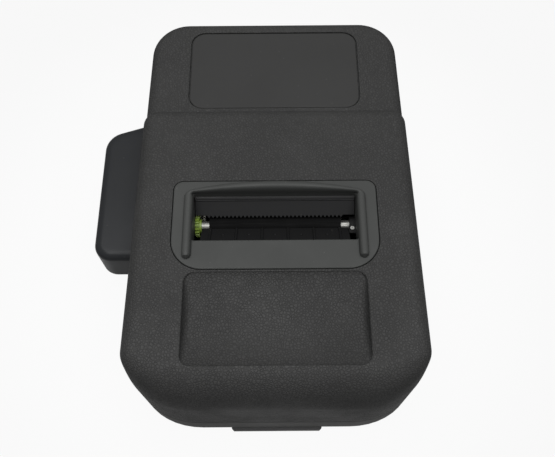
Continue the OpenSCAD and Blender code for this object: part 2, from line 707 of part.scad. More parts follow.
// Phase of a gear of b teeth that meets one of a teeth and phase p in direction dir
function met(p, a, b, dir) = dir + 180 + 180 / b + (dir - p) * a / b;
platen_phase = 0;
idler_phase = met(platen_phase, platen_teeth, idler_teeth, idler_dir);
small_phase = met(idler_phase, idler_teeth, small_teeth, reduction_dir);
pinion_phase = met(small_phase, big_teeth, pinion_teeth, motor_dir);
plane_a = -cheek_in + 1.1;
plane_b = plane_a + gear_t + 0.15;
pin_r = 0.8;
gear_bore = pin_r + play;

module platen_gear() placed() color([0.62, 0.76, 0.16]) {
    gear(platen_teeth, platen, plane_a, gear_t, platen_phase, shaft_r);
    difference() {
        bar_x([plane_a, platen[0], platen[1]], gear_t + 0.8, shaft_r + 0.7);
        bar_x([plane_a - 1, platen[0], platen[1]], gear_t + 3, shaft_r);
    }
}
module idler_gear() placed() color([0.85, 0.85, 0.8]) gear(idler_teeth, idler, plane_a, gear_t,
    idler_phase, gear_bore);
module reduction_gear() placed() color([0.85, 0.85, 0.8]) {
    gear(small_teeth, reduction, plane_a, gear_t + 0.15 + eps, small_phase, gear_bore);
    gear(big_teeth, reduction, plane_b, gear_t - 0.3, small_phase, gear_bore);
}
module idler_pin() placed() color([0.75, 0.75, 0.76])
    bar_x([-cheek_out, idler[0], idler[1]], plane_b - 0.05 + cheek_out, pin_r);
module reduction_pin() placed() color([0.75, 0.75, 0.76])
    bar_x([-cheek_out, reduction[0], reduction[1]], plane_b + gear_t - 0.1 + cheek_out, pin_r);

// Motor, its shaft and its pinion
motor_shaft_r = 0.9;
motor_face = -lug_in;
module motor_pinion() placed() color([0.8, 0.66, 0.35])
    gear(pinion_teeth, motor, plane_b, gear_t - 0.3, pinion_phase, motor_shaft_r);
module motor_shaft() placed() color([0.75, 0.75, 0.76])
    bar_x([plane_b - 0.1, motor[0], motor[1]], motor_face - plane_b + 6, motor_shaft_r);
module stepper_motor() placed() color([0.6, 0.6, 0.62]) difference() {
    union() {
        bar_x([motor_face, motor[0], motor[1]], motor_l, motor_d / 2);
        block([motor_face, motor[0] - 3.5, motor[1]], [motor_face + 0.8, motor[0] + 3.5, motor[1] +
            motor_d / 2 + 3]);
    }
    bar_x([motor_face - 1, motor[0], motor[1]], 8, motor_shaft_r + play);
    bar_x([motor_face - 1, motor[0], motor[1] + motor_d / 2 + 1.4], 3, 0.9);
}

// Roller
module platen_shaft() placed() color([0.78, 0.78, 0.78])
    bar_x([-cheek_out - 0.6, platen[0], platen[1]], 2 * cheek_out + 1.2, shaft_r);
module platen_rubber() placed() color([0.1, 0.1, 0.1]) difference() {
    bar_x([-rubber_l / 2, platen[0], platen[1]], rubber_l, rubber_r);
    bar_x([-rubber_l, platen[0], platen[1]], 2 * rubber_l, shaft_r);
}
bush_r = shaft_r + 1;
bush_flange_r = shaft_r + 1.6;
module platen_bushes() placed() color([0.16, 0.16, 0.16]) difference() {
    union() {
        bar_x([-cheek_out - 0.4, platen[0], platen[1]], cheek_t + 0.4, bush_r);
        bar_x([lug_out + 1, platen[0], platen[1]], cheek_in - lug_out - 1, bush_flange_r);
        bar_x([lug_out + 1, platen[0], platen[1]], cheek_out - lug_out - 0.6, bush_r);
    }
    bar_x([-cheek_out - 3, platen[0], platen[1]], 2 * cheek_out + 6, shaft_r + play);
}

// Print head: a ceramic plate on an aluminium one, turning on a pin and sprung towards the roller
head_gap = 0.12;
head_t = 1;
head_front = platen_y + rubber_r + head_gap;
sink_t = 2.4;
sink_rear = head_front + head_t + sink_t;
head_half = lug_in - 0.4;
head_top = platen[1] + 2.4;
head_pin = [sink_rear - 1.2, platen[1] - 12.8];
head_pin_r = 1;
head_low = head_pin[1] + 2.3;
module thermal_head() placed() color([0.86, 0.84, 0.78])
    block([-head_half, head_front, head_low], [head_half, head_front + head_t, head_top]);
module head_heatsink() placed() color([0.72, 0.73, 0.74]) difference() {
    union() {
        block([-head_half, head_front + head_t, head_pin[1]], [head_half, sink_rear, head_top]);
        bar_x([-head_half, head_pin[0], head_pin[1]], 2 * head_half, 2.2);
    }
    bar_x([-head_half - 1, head_pin[0], head_pin[1]], 2 * head_half + 2, head_pin_r + play);
}
module head_pivot_pin() placed() color([0.75, 0.75, 0.76])
    bar_x([-lug_out, head_pin[0], head_pin[1]], 2 * lug_out, head_pin_r);
head_spring_x = 8;
head_spring_z = platen[1] - 1.6;
back_wall_y = cheek_rear - frame_t;
back_wall_x = motor_face + motor_l + 1.6;
module head_springs() placed() color([0.7, 0.7, 0.72])
    for (x = [-1, 1]) translate([x * head_spring_x, sink_rear, head_spring_z]) rotate([-90, 0, 0])
        coil(1.8, 0.3, back_wall_y - sink_rear, 4);

// Frame: two cheeks, a floor, inner lugs for the head and the motor, a rear wall and four ears
frame_ear_x = cheek_out + 3.4;
frame_ear_ys = [cheek_front + 3.4, cheek_rear - 3.4];
frame_ear_z = cheek_top - 3.4;
frame_ear_t = 1.5;
frame_screw_r = 0.95;
module mechanism_frame() placed() color([0.3, 0.31, 0.33]) difference() {
    union() {
        for (x = [-1, 1]) {
            translate([x * (cheek_in + cheek_t / 2), 0, 0])
                block([-cheek_t / 2, cheek_front, frame_z], [cheek_t / 2, cheek_rear, cheek_top]);
            translate([x * (lug_in + lug_t / 2), 0, 0])
                block([-lug_t / 2, head_pin[0] - 2.6, frame_z],
                    [lug_t / 2, head_pin[0] + 2.4, head_pin[1] + 2.4]);
            for (y = frame_ear_ys) translate([x * (cheek_out + 3), 0, 0])
                block([-3.4, y - 3.2, frame_ear_z - frame_ear_t], [3.4, y + 3.2, frame_ear_z]);
        }
        block([-cheek_out, cheek_front, frame_z], [cheek_out, cheek_rear, frame_z + frame_t]);
        block([-cheek_in - eps, cheek_rear - 1, frame_z],
            [motor_face + motor_l, motor[0] + 8, frame_z + frame_t]);
        block([motor_face - lug_t, motor[0] - 5, frame_z],
            [motor_face, motor[0] + 8, motor[1] + motor_d / 2 + 3]);
        block([back_wall_x, back_wall_y, frame_z], [cheek_in + eps, cheek_rear, platen[1] + 2]);
        // Small shelf on the right cheek for the screw beside the roller
        block([guide_half + 0.3, bearing_screw_y - 1.8, shelf_z - shelf_t],
            [cheek_in + eps, bearing_screw_y + 1.4, shelf_z]);
    }
    bar_x([-cheek_out - 1, platen[0], platen[1]], 2 * cheek_out + 2, bush_r);
    bar_x([-cheek_out - 1, idler[0], idler[1]], cheek_t + 2, pin_r);
    bar_x([-cheek_out - 1, reduction[0], reduction[1]], cheek_t + 2, pin_r);
    bar_x([-lug_out - 1, head_pin[0], head_pin[1]], 2 * lug_out + 2, head_pin_r);
    bar_x([motor_face - lug_t - 1, motor[0], motor[1]], lug_t + 2, pinion_hole_r);
    bar_x([motor_face - lug_t - 1, motor[0], motor[1] + motor_d / 2 + 1.4], lug_t + 2, 0.9);
    for (x = [-1, 1], y = frame_ear_ys) bar_z([x * frame_ear_x, y, frame_ear_z - 3], 5, frame_screw_r + 0.1);
    bar_z([bearing_screw_x, bearing_screw_y, shelf_z - 3], 5, 0.7);
}
pinion_hole_r = pinion_teeth * gear_m / 2 + 1;
shelf_t = 1.2;
shelf_z = platen[1] + 4.8;
bearing_screw_x = lug_out + 1.7;
bearing_screw_y = platen_y - 3.5;
module bearing_screw() placed() color([0.85, 0.85, 0.85])
    screw_down(bearing_screw_x, bearing_screw_y, shelf_z, 0.75, 0.5, 0.5, 2);
module mechanism_screws() placed() color([0.72, 0.72, 0.74])
    for (x = [-1, 1], y = frame_ear_ys) screw_up(x * frame_ear_x, y, frame_ear_z - frame_ear_t, 1.9, 1.3,
        frame_screw_r - 0.05, 4.4);
module paper_sensor() placed() color([0.12, 0.12, 0.14])
    block([-3, platen_y - 5, frame_z + frame_t], [5, platen_y, platen[1] - rubber_r - 3.4]);

// The tub that the paper roll drops into
bay_boss_h = 3;
bay_screw_x = bay_out + 3.4;
board_screw_r = 1;
module roll_bay() placed() color([0.18, 0.18, 0.18]) difference() {
    union() {
        for (x = [-1, 1]) {
            translate([x * (bay_in + bay_wall / 2), 0, 0])
                block([-bay_wall / 2, bay_front, floor_z], [bay_wall / 2, bay_rear, bay_top]);
            for (y = bay_tabs) translate([x * (bay_out + 2.6), 0, 0])
                block([-3, y - 3, floor_z + bay_boss_h], [3.4, y + 3, floor_z + bay_boss_h + bay_wall]);
        }
        block([-bay_out, bay_rear - bay_wall, floor_z + hinge_r + 0.9], [bay_out, bay_rear, bay_lip_z]);
        bar_x([-bay_out, bay_rear - bay_wall / 2, bay_lip_z], 2 * bay_out, bay_wall / 2 + 0.1);
    }
    for (x = [-1, 1], y = bay_tabs) bar_z([x * bay_screw_x, y, floor_z], 10, board_screw_r + 0.2);
}
module bay_screws() placed() color([0.72, 0.72, 0.74])
    for (x = [-1, 1], y = bay_tabs) screw_down(x * bay_screw_x, y, floor_z + bay_boss_h + bay_wall, 2,
        1.4, board_screw_r - 0.05, 4);

// The door under the roll, with its hinge barrel, ribs and latch rails
module paper_door() placed() color([0.2, 0.2, 0.2]) difference() {
    union() {
        block([-door_w / 2, door_front, foot_h], [door_w / 2, hinge_y, floor_z]);
        bar_x([-knuckle_half, hinge_y, hinge_z], 2 * knuckle_half, hinge_r);
        for (x = [-door_rib_x, door_rib_x]) block([x - 0.8, latch_back + 4, floor_z - bite],
            [x + 0.8, hinge_y - 4, floor_z + 1.4]);
        for (x = [-1, 1]) translate([x * (latch_w / 2 + 0.2 + 0.8), 0, 0])
            block([-0.8, tab_back + 2.4, floor_z - bite], [0.8, latch_back + 2, floor_z + latch_t + 0.4]);
        block([-latch_w / 2 - 1, latch_back + latch_spring_l, floor_z - bite],
            [latch_w / 2 + 1, latch_back + latch_spring_l + 1.2, floor_z + latch_t + 1.2]);
    }
    for (x = [-1, 1]) translate([x * (knuckle_half + gap + ear_t / 2), 0, 0])
        block([-ear_t / 2 - gap, hinge_y - hinge_r - 0.6, foot_h - 1],
            [ear_t / 2 + gap, hinge_y + hinge_r + 1, floor_z + 3]);
    // Its corners beside the lugs end a little before the axis, clear of the roll bay when open
    for (x = [-1, 1]) translate([x * door_w / 2, 0, 0])
        block([hinge_half - door_w / 2, hinge_y - corner_cut, foot_h - 1],
            [door_w / 2 - hinge_half, hinge_y + 1, floor_z + 1]);
    block([-tab_w / 2 - 0.4, door_front - 1, foot_h - 1],
        [tab_w / 2 + 0.4, tab_back + latch_travel + 0.3, floor_z + 1]);
    bar_x([-hinge_half, hinge_y, hinge_z], 2 * hinge_half, hinge_pin_r + play + 0.02);
}
module door_hinge_pin() placed() color([0.75, 0.75, 0.76])
    bar_x([-hinge_half, hinge_y, hinge_z], 2 * hinge_half, hinge_pin_r);

// Latch: the tab outside, a plate on the door, and a post that stands before the shell's wall
latch_spring_l = 6;
tab_cut = 1.2;
module door_latch() placed() color([0.12, 0.12, 0.12]) {
    difference() {
        block([-tab_w / 2, front_y - tab_out, tab_z], [tab_w / 2, tab_back, tab_top]);
        translate([0, front_y - tab_out, tab_z]) for (x = [-1, 1]) translate([x * tab_w / 2, 0, 0])
            rotate([0, 0, 45]) cube([tab_cut, tab_cut, 2 * tab_w], center = true);
    }
    block([-latch_w / 2, front_y + wall + 0.3, tab_top - bite],
        [latch_w / 2, tab_back, floor_z + 0.1 + latch_t]);
    block([-latch_w / 2, tab_back - bite, floor_z + 0.1], [latch_w / 2, latch_back, floor_z + 0.1 + latch_t]);
    block([-9, front_y + wall + 0.3, floor_z], [9, front_y + wall + 2, floor_z + 5]);
}
module latch_spring() placed() color([0.7, 0.7, 0.72])
    translate([0, latch_back, floor_z + 1.4]) rotate([-90, 0, 0]) coil(1, 0.22, latch_spring_l, 5);

// Main board, its chips, capacitors, connectors, screws and beeper
module main_board() placed() color([0.1, 0.35, 0.2]) difference() {
    block([board_x0, board_front, board_z], [board_x1, board_rear, board_top]);
    for (p = board_holes) bar_z([p[0], p[1], board_z - 1], 4, board_screw_r + 0.2);
    for (x = [-1, 1]) bar_z([x * rear_post[0], rear_post[1], board_z - 1], 4, post_r + post_room);
}
chip_back = 40;
chip_y = board_front + chip_back;
module board_chips() placed() color([0.12, 0.12, 0.13]) {
    block([-10, chip_y, board_top], [8, chip_y + 18, board_top + 2.2]);
    block([14, chip_y + 6, board_top], [22, chip_y + 18, board_top + 1.8]);
    block([-24, chip_y - 14, board_top], [-12, chip_y - 6, board_top + 2]);
    block([6, chip_y - 22, board_top], [16, chip_y - 12, board_top + 2]);
}
module board_capacitors() placed() color([0.15, 0.2, 0.35]) {
    for (p = [[-22, 4, 4], [-22, 14, 4], [28, 2, 3.2]]) bar_z([p[0], chip_y + p[1], board_top], 8, p[2]);
}
module board_connectors() placed() color([0.86, 0.84, 0.78]) {
    block([-12, board_front + 2, board_top], [14, board_front + 6, board_top + 4.5]);
    block([-28, board_front + 18, board_top], [-20, board_front + 23, board_top + 5]);
    block([22, board_rear - 34, board_top], [34, board_rear - 30, board_top + 5]);
}
module board_screws() placed() color([0.72, 0.72, 0.74]) {
    for (p = board_holes) screw_down(p[0], p[1], board_top, 2, 1.4, board_screw_r - 0.05, 8);
    for (x = [-1, 1]) translate([x * switch_boss_x, switch_y - switch_t, switch_boss_z]) rotate([-90, 0, 0])
        screw_up(0, 0, 0, 1.6, 1.2, frame_screw_r - 0.05, 5);
}
module beeper() placed() color([0.1, 0.1, 0.1]) difference() {
    bar_z([24, board_front + 22, board_top], 6, 6);
    bar_z([24, board_front + 22, board_top + 5], 3, 1);
}

// Sockets in the rear end
module data_port() placed() color([0.14, 0.14, 0.15]) difference() {
    block([port_x - port_w / 2, rear_y - 0.6 - port_l, board_top],
        [port_x + port_w / 2, rear_y - 0.6, board_top + port_h]);
    block([port_x - 6, rear_y - 13, board_top + 4], [port_x + 6, rear_y, board_top + 11]);
    block([port_x - 3, rear_y - 13, board_top + 2], [port_x + 3, rear_y, board_top + 5]);
}
module power_jack() placed() color([0.12, 0.12, 0.12]) {
    difference() {
        block([jack_x - jack_w / 2, panel_y - jack_l, board_top],
            [jack_x + jack_w / 2, panel_y - 0.1, board_top + jack_h]);
        bar_y([jack_x, panel_y - 10, jack_z], 11, 2.9);
    }
    bar_y([jack_x, panel_y - 11, jack_z], 8, 1);
}

// Small board behind the rear end, with the two switches and the infrared module
switch_t = 1.6;
switch_edge = 7;
switch_half = button_x + switch_edge;
switch_low = board_top + port_h + 0.4;
switch_boss_x = 13;
switch_boss_z = switch_low + 2.2;
module switch_board() placed() color([0.1, 0.35, 0.2]) difference() {
    block([-switch_half, switch_y - switch_t, switch_low], [switch_half, switch_y, button_z + switch_edge]);
    for (x = [-1, 1]) bar_y([x * switch_boss_x, switch_y - 3, switch_boss_z], 5, frame_screw_r + 0.1);
}
stem_r = 1.6;
module tact_switches() placed() color([0.55, 0.55, 0.56]) for (x = [-1, 1]) difference() {
    block([x * button_x - 3, switch_y, button_z - 3], [x * button_x + 3, switch_y + 3.6, button_z + 3]);
    bar_y([x * button_x, switch_y + 2, button_z], 3, stem_r + 0.2);
}
module infrared_module() placed() color([0.15, 0.1, 0.1])
    block([-5, switch_y, button_z - 2.5], [5, switch_y + 3.4, button_z + 2.5]);
module infrared_window() placed() color([0.25, 0.04, 0.05]) {
    block([-lens_w / 2, panel_y - bite, button_z - lens_h / 2],
        [lens_w / 2, rear_y - 0.3, button_z + lens_h / 2]);
    block([-lens_w / 2 - 1.5, panel_y - 1, button_z - lens_h / 2 - 1.5],
        [lens_w / 2 + 1.5, panel_y, button_z + lens_h / 2 + 1.5]);
}
module button(x) {
    bar_y([x, panel_y - bite, button_z], wall - 0.2 + bite, button_r);
    bar_y([x, panel_y - 1.2, button_z], 1.2 - eps, button_r + 1);
    bar_y([x, switch_y + 3, button_z], panel_y - 1 - switch_y - 3, stem_r);
}
module power_button() placed() color([0.35, 0.12, 0.1]) button(-button_x);
module feed_button() placed() color([0.32, 0.34, 0.33]) button(button_x);
module status_leds() placed() color([0.5, 0.75, 0.4]) for (x = [-1, 1]) {
    bar_y([x * led_x, switch_y, button_z + 3], rear_y - 0.6 - switch_y, led_r);
    translate([x * led_x, rear_y - 0.6, button_z + 3]) intersection() {
        sphere(r = led_r, $fn = fine);
        bar_y([0, -0.1, 0], 0.5, led_r + 1);
    }
}

// Battery pack: its outline hugs the tapered side of the case
ear_front_r = 7;
ear_edge = 3.4;

// Where the sloped rear end of the pack, drawn in by s, meets the case at x
function ear_end(x, s) = ear_rear - ear_r + (ear_r - s) * cos(ear_slope) + tan(ear_slope) * (x - ear_out
    - ear_r + (ear_r - s) * sin(ear_slope));
function ear_ring(s) = let (x1f = -half_at(ear_front) - case_side_gap, x1r = -half_at(ear_rear) -
    case_side_gap)
    concat([[x1r, ear_end(x1r, s)]],
        arc(ear_out + ear_r, ear_rear - ear_r, ear_r - s, ear_r - s, 90 + ear_slope, 180, 8),
        arc(ear_out + ear_front_r, ear_front + ear_front_r, ear_front_r - s, ear_front_r - s, 180, 270, 8),
        [[x1f, ear_front + s]]);
module ear_body() {
    low = [for (i = [0:3]) ear_bottom + ear_edge / 2 - ear_edge / 2 * cos(30 * i)];
    high = [for (i = [0:5]) ear_top - ear_edge + ear_edge * sin(18 * i)];
    zs = concat(low, high);
    loft([for (z = zs) ear_ring(max(drawn_in(ear_edge, ear_edge, z - ear_top + ear_edge),
        drawn_in(ear_edge / 2, ear_edge / 2, ear_bottom + ear_edge / 2 - z)))], zs);
}
notch_deep = 1.4;
module battery_case() placed() color([0.21, 0.22, 0.235]) difference() {
    union() {
        ear_body();
        block([-front_half - 3, tongue_front, tongue_bottom], [tongue_end, tongue_rear, tongue_top]);
    }
    block([ear_out + 1.4, tongue_front + pack_wall, tongue_bottom + pack_wall - 0.2],
        [tongue_end + 1, tongue_rear - pack_wall - 0.8, tongue_top - pack_wall + 0.2]);
    block([catch_x0 - 1, tongue_rear - notch_deep, catch_z - 0.4],
        [catch_x1 + 1, tongue_rear + 1, catch_z + catch_h + 0.4]);
}
module battery_cover() placed() color([0.18, 0.18, 0.19]) difference() {
    block([tongue_end, tongue_front, tongue_bottom], [pack_end, tongue_rear, tongue_top]);
    for (y = terminal_ys) block([pack_end - 0.5, y - 1.6, cell_z - 3], [pack_end + 1, y + 1.6, cell_z + 3]);
}
module battery_terminals() placed() color([0.85, 0.7, 0.35])
    for (y = terminal_ys) block([pack_end - 0.5, y - 1.6, cell_z - 3], [pack_end - 0.1, y + 1.6, cell_z + 3]);
module battery_cells() placed() color([0.25, 0.45, 0.6]) for (i = [0, 1]) {
    bar_y([cell_x + i * cell_pitch, cell_front, cell_z], cell_l - 1, cell_d / 2 - 0.1);
    bar_y([cell_x + i * cell_pitch, cell_front + cell_l - 1.1, cell_z], 1.1, 2.6);
}

// The contacts that meet the pack, in a block on the main board
contact_x = board_x0 + 0.4;
module battery_contacts() placed() color([0.8, 0.7, 0.45]) {
    block([contact_x, terminal_ys[0] - 3, board_top], [contact_x + 2.4, terminal_ys[2] + 3, cell_z + 3]);
    for (y = terminal_ys) {
        block([pack_end + 0.5, y - 0.8, cell_z - 1.6], [contact_x + bite, y + 0.8, cell_z - 1]);
        bar_y([pack_end + 0.75, y - 0.8, cell_z - 0.9], 1.6, 0.7);
    }
}

// Sliding catch of the pack, with its thumb piece outside the case
module battery_latch() placed() color([0.12, 0.12, 0.12]) {
    block([catch_x0, catch_front, catch_z], [catch_x1, catch_rear, catch_z + catch_h]);
    block([-half_at(catch_rear) - 1.2, catch_rear - thumb_l, catch_z],
        [catch_x0 + bite, catch_rear, catch_z + catch_h]);
}
module battery_latch_spring() placed() color([0.7, 0.7, 0.72])
    translate([(catch_x0 + catch_x1) / 2, catch_rear, catch_z + catch_h / 2]) rotate([-90, 0, 0])
        coil(1.1, 0.25, catch_spring_l, 5);

upper_shell();
lower_shell();
label_plate();
exit_bezel();
tear_bar();
paper_guide();
mechanism_frame();
platen_bushes();
platen_shaft();
platen_rubber();
platen_gear();
idler_gear();
idler_pin();
reduction_gear();
reduction_pin();
motor_pinion();
motor_shaft();
stepper_motor();
thermal_head();
head_heatsink();
head_pivot_pin();
head_springs();
paper_sensor();
mechanism_screws();
bearing_screw();
roll_bay();
bay_screws();
paper_door();
door_hinge_pin();
door_latch();
latch_spring();
main_board();
board_chips();
board_capacitors();
board_connectors();
board_screws();
beeper();
data_port();
power_jack();
switch_board();
tact_switches();
infrared_module();
infrared_window();
power_button();
feed_button();
status_leds();
battery_case();
battery_cover();
battery_cells();
battery_terminals();
battery_contacts();
battery_latch();
battery_latch_spring();
feet();
clip_inserts();
case_screws();
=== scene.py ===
"""Skins, finishes and stages a belt-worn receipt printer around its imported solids.

Shapes are worked out in millimetres from the middle of the case, with X its width, +Y towards the
label end and +Z up from the table. They are put into the meshes in metres, in the row frame.
"""

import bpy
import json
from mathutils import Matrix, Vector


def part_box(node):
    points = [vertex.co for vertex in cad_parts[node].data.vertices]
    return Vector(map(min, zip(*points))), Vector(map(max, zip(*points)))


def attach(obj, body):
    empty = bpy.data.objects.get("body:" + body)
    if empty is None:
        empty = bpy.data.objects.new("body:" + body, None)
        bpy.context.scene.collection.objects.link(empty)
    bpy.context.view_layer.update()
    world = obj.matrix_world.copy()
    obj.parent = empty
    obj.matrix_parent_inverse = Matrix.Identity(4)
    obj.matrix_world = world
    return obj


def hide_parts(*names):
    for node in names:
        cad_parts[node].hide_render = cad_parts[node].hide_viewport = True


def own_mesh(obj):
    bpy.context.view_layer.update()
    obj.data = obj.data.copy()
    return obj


bl_info = {
    "name": "Belt Printer",
    "version": (1, 0, 0),
    "blender": (4, 5, 0),
    "location": "3D View > Sidebar > Belt Printer",
    "description": "Skins, finishes and stages a belt-worn receipt printer",
    "category": "Add Mesh",
}

import json
import math
from types import SimpleNamespace

import bmesh
import bpy
import numpy as np
from bpy.props import FloatProperty, FloatVectorProperty, PointerProperty
from mathutils import Matrix

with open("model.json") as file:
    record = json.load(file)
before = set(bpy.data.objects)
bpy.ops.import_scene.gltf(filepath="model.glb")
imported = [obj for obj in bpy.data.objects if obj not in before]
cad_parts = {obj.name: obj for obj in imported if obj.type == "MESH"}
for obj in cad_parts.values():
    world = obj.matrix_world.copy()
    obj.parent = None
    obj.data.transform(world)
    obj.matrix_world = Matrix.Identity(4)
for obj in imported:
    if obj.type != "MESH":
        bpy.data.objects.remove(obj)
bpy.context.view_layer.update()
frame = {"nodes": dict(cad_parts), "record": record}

MM = 0.001
LOW, HIGH = (np.array(corner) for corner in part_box("upper_shell"))
BEZEL_LOW, BEZEL_HIGH = (np.array(corner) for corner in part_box("exit_bezel"))
PACK_LOW, PACK_HIGH = (np.array(corner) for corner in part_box("battery_case"))
CASE_MID = np.array([(LOW[0] + HIGH[0]) / 2, (LOW[1] + HIGH[1]) / 2, 0.0])

# Room round a piece in its opening, and how far a cutter reaches past a face, in millimetres
CLEAR, PAST = 0.25, 1.0
# Fixed sizes and places of smaller features, in millimetres from the middle of the case
SEAM_BEVEL, DECK_OVERLAP, HAIR = 0.25, 30.0, 0.004
LABEL_INSET, LABEL_DEPTH, LABEL_ROOM = 7.2, 0.9, 0.45
DISH_GAP, DISH_RIM = 1.0, 0.3
# A pocket's rounded lip turns this many degrees, so that its cutter never runs level with the face
LIP_TURN = 82
BEZEL_RISE, BEZEL_T, WINDOW_R = 0.2, 2.0, 0.8
ROLLER_Y, ROLLER_DROP, ROLLER_L = -12.9, 11.8, 49.4
POST_R, POST_HOLE_R, POST_HOLE_L, REAR_POST_INSET, FRONT_POST_INSET = 3.6, 1.3, 12.0, (8.0, 18.0), (9.5, 28.0)
FRAME_EAR_X, FRAME_EAR_YS, FRAME_EAR_TOP, FRAME_BOSS_R, FRAME_HOLE_L = 36.0, (-17.7, 0.7), 51.6, 2.8, 4.4
FRAME_EARS = [(x * FRAME_EAR_X, y) for x in (-1, 1) for y in FRAME_EAR_YS]
SWITCH_BOSS_X, SWITCH_BOSS_Z, SWITCH_BOSS_R, SWITCH_BOSS_L, SWITCH_HOLE_L = 13.0, 32.2, 2.3, 7.0, 5.0
SMALL_HOLE_R = 0.95
KEY_DROP, KEY_X, KEY_HOLE_R = 14.0, 31.0, 4.35
LIGHT_X, LIGHT_RISE, LIGHT_HOLE_R = 20.0, 3.0, 1.625
LENS_HALF_W, LENS_HALF_H = 9.125, 4.125
JACK_X, JACK_Z, JACK_HOLE_R = -15.5, 22.2, 4.4
PORT_LEFT, PORT_RIGHT, PORT_TOP = 7.75, 24.25, 29.85
PACK_GAP, PACK_SHELL, TONGUE_INSET, TONGUE_RISE, TONGUE_H, MOUTH_L = 0.4, 1.6, 3.0, 0.4, 16.8, 6.0
CELL_D, CELL_GAP = 14.4, 0.3
CATCH_DROP, CATCH_H, CATCH_L, CATCH_TRAVEL = 10.0, 6.0, 14.4, 2.5
CATCH_SPRING_L, CATCH_STOP, CATCH_STOP_W, THUMB_ROOM = 8.0, 2.0, 3.5, 0.6

# Camera as solved from the photograph, and the light
CAMERA_PLACE, CAMERA_TILT, CAMERA_ROLL, LENS = (0.0103, -0.1245, 0.2842), 25.0, -0.42, 44.72
LAMP_PLACE, LAMP_SIZE, LAMP_POWER, ROOM_LIGHT = (0.0, -0.1, 1.5), 1.5, 25.0, 0.3
# Share of the white background that reflections and glass see
MIRRORED = 0.15


def length(label, text, default):
    """A size in metres that the panel shows in the scene's units"""
    return FloatProperty(name=label, description=text, default=float(default), unit="LENGTH",
                         subtype="DISTANCE", precision=5)


def tint(label, text, default):
    """A linear colour for the panel"""
    return FloatVectorProperty(name=label, description=text, default=default, subtype="COLOR",
                               min=0.0, max=1.0)


class CaseSizes(bpy.types.PropertyGroup):
    """Sizes of the grained case"""
    case_l: length("Length", "Front to rear", HIGH[1] - LOW[1])
    front_w: length("Front width", "Width at the front end", HIGH[0] - LOW[0])
    rear_w: length("Rear width", "Width at the rear end", 0.103)
    case_h: length("Height", "Top of the raised part over the table", HIGH[2])
    seam: length("Seam height", "Joint between the shells", LOW[2])
    deck_drop: length("Deck drop", "How far the deck lies below the raised part", 0.004)
    step_y: length("Step", "Place of the step behind the middle", 0.034)
    wall: length("Wall", "Wall thickness", 0.0024)
    front_r: length("Front corner length", "Reach of the front corners along the case", 0.0175)
    front_reach: length("Front corner width", "Reach of the front corners across the case", 0.0245)
    rear_r: length("Rear corner radius", "Seen from above", 0.0155)
    edge_r: length("Edge radius", "Between top and sides", 0.0055)
    nose_l: length("Nose length", "Reach of the nose rounding", 0.013)
    nose_h: length("Nose height", "Height of the nose rounding", 0.018)
    label_w: length("Label width", "Width of the bare label plate", 0.0685)
    label_l: length("Label length", "Length of the label plate", 0.0375)
    label_r: length("Label radius", "Corner radius of the label plate", 0.0055)
    dish_w: length("Dish width", "Width of the thumb dish", 0.0645)
    dish_l: length("Dish length", "Length of the thumb dish", 0.0335)
    dish_depth: length("Dish depth", "Depth of the thumb dish at its middle", 0.0045)


class ExitSizes(bpy.types.PropertyGroup):
    """Sizes of the paper exit"""
    bezel_w: length("Bezel width", "Outer width of the bezel", BEZEL_HIGH[0] - BEZEL_LOW[0])
    bezel_l: length("Bezel length", "Outer length of the bezel", BEZEL_HIGH[1] - BEZEL_LOW[1])
    bezel_rear: length("Bezel rear", "Rear edge of the bezel", BEZEL_HIGH[1] - CASE_MID[1])
    bezel_r: length("Front corner radius", "Large corners of the bezel", 0.0115)
    bezel_small_r: length("Rear corner radius", "Small corners of the bezel", 0.0035)
    window_w: length("Window width", "Width of the exit window", 0.06)
    window_front: length("Window front", "Front edge of the window", -0.024)
    window_rear: length("Window rear", "Rear edge of the window", -0.0053)
    guard_t: length("Guard width", "Width of the raised guard", 0.0034)
    guard_h: length("Guard height", "Height of the guard over the bezel", 0.0026)
    guard_top: length("Guard top", "Top of the guard's arch over the table", BEZEL_HIGH[2])
    tooth_pitch: length("Tooth pitch", "Distance between the tear-off teeth", 0.0015)
    rib_pitch: length("Rib pitch", "Distance between the ribs of the guide", 0.0096)


class PackSizes(bpy.types.PropertyGroup):
    """Sizes of the battery pack"""
    ear_w: length("Reach", "How far the pack stands out of the case", LOW[0] - PACK_LOW[0])
    ear_l: length("Length", "Length of the pack at its outer side", 0.0595)
    ear_front: length("Front", "Front end of the pack", PACK_LOW[1] - CASE_MID[1])
    ear_low: length("Underside", "Underside of the pack over the table", PACK_LOW[2])
    ear_high: length("Top", "Top of the pack over the table", PACK_HIGH[2])
    ear_slope: FloatProperty(name="Rear slope", description="Turn of the pack's rear end",
                             default=math.radians(18), subtype="ANGLE")
    ear_r: length("Rear corner radius", "Seen from above", 0.009)
    ear_front_r: length("Front corner radius", "Seen from above", 0.007)
    ear_edge: length("Edge radius", "Along the top", 0.0034)


class FinishColours(bpy.types.PropertyGroup):
    """Colours of the larger pieces"""
    case: tint("Case", "Grained case", (0.038, 0.038, 0.0375))
    # The base's paler tone is partly the shell's own second colour and partly painted light, raised so that
    # the rim along its front shows bright
    base: tint("Base", "Base and door", (0.078, 0.078, 0.0765))
    label: tint("Label", "Bare label plate", (0.035, 0.035, 0.0345))
    bezel: tint("Bezel", "Frame of the paper exit", (0.0475, 0.0492, 0.0475))
    pack: tint("Pack", "Battery pack", (0.0185, 0.0196, 0.0212))
    inner: tint("Inner parts", "Black parts inside", (0.0105, 0.0105, 0.0108))
    panel: tint("Tear-off panel", "Sloped panel with the teeth", (0.0125, 0.0125, 0.013))
    gear: tint("Roller gear", "Yellow-green gear", (0.2, 0.29, 0.045))


def sizes(group):
    """The sizes of a property group in millimetres"""
    names = [p.identifier for p in group.bl_rna.properties if getattr(p, "unit", "") == "LENGTH"]
    return SimpleNamespace(**{n: getattr(group, n) / MM for n in names})


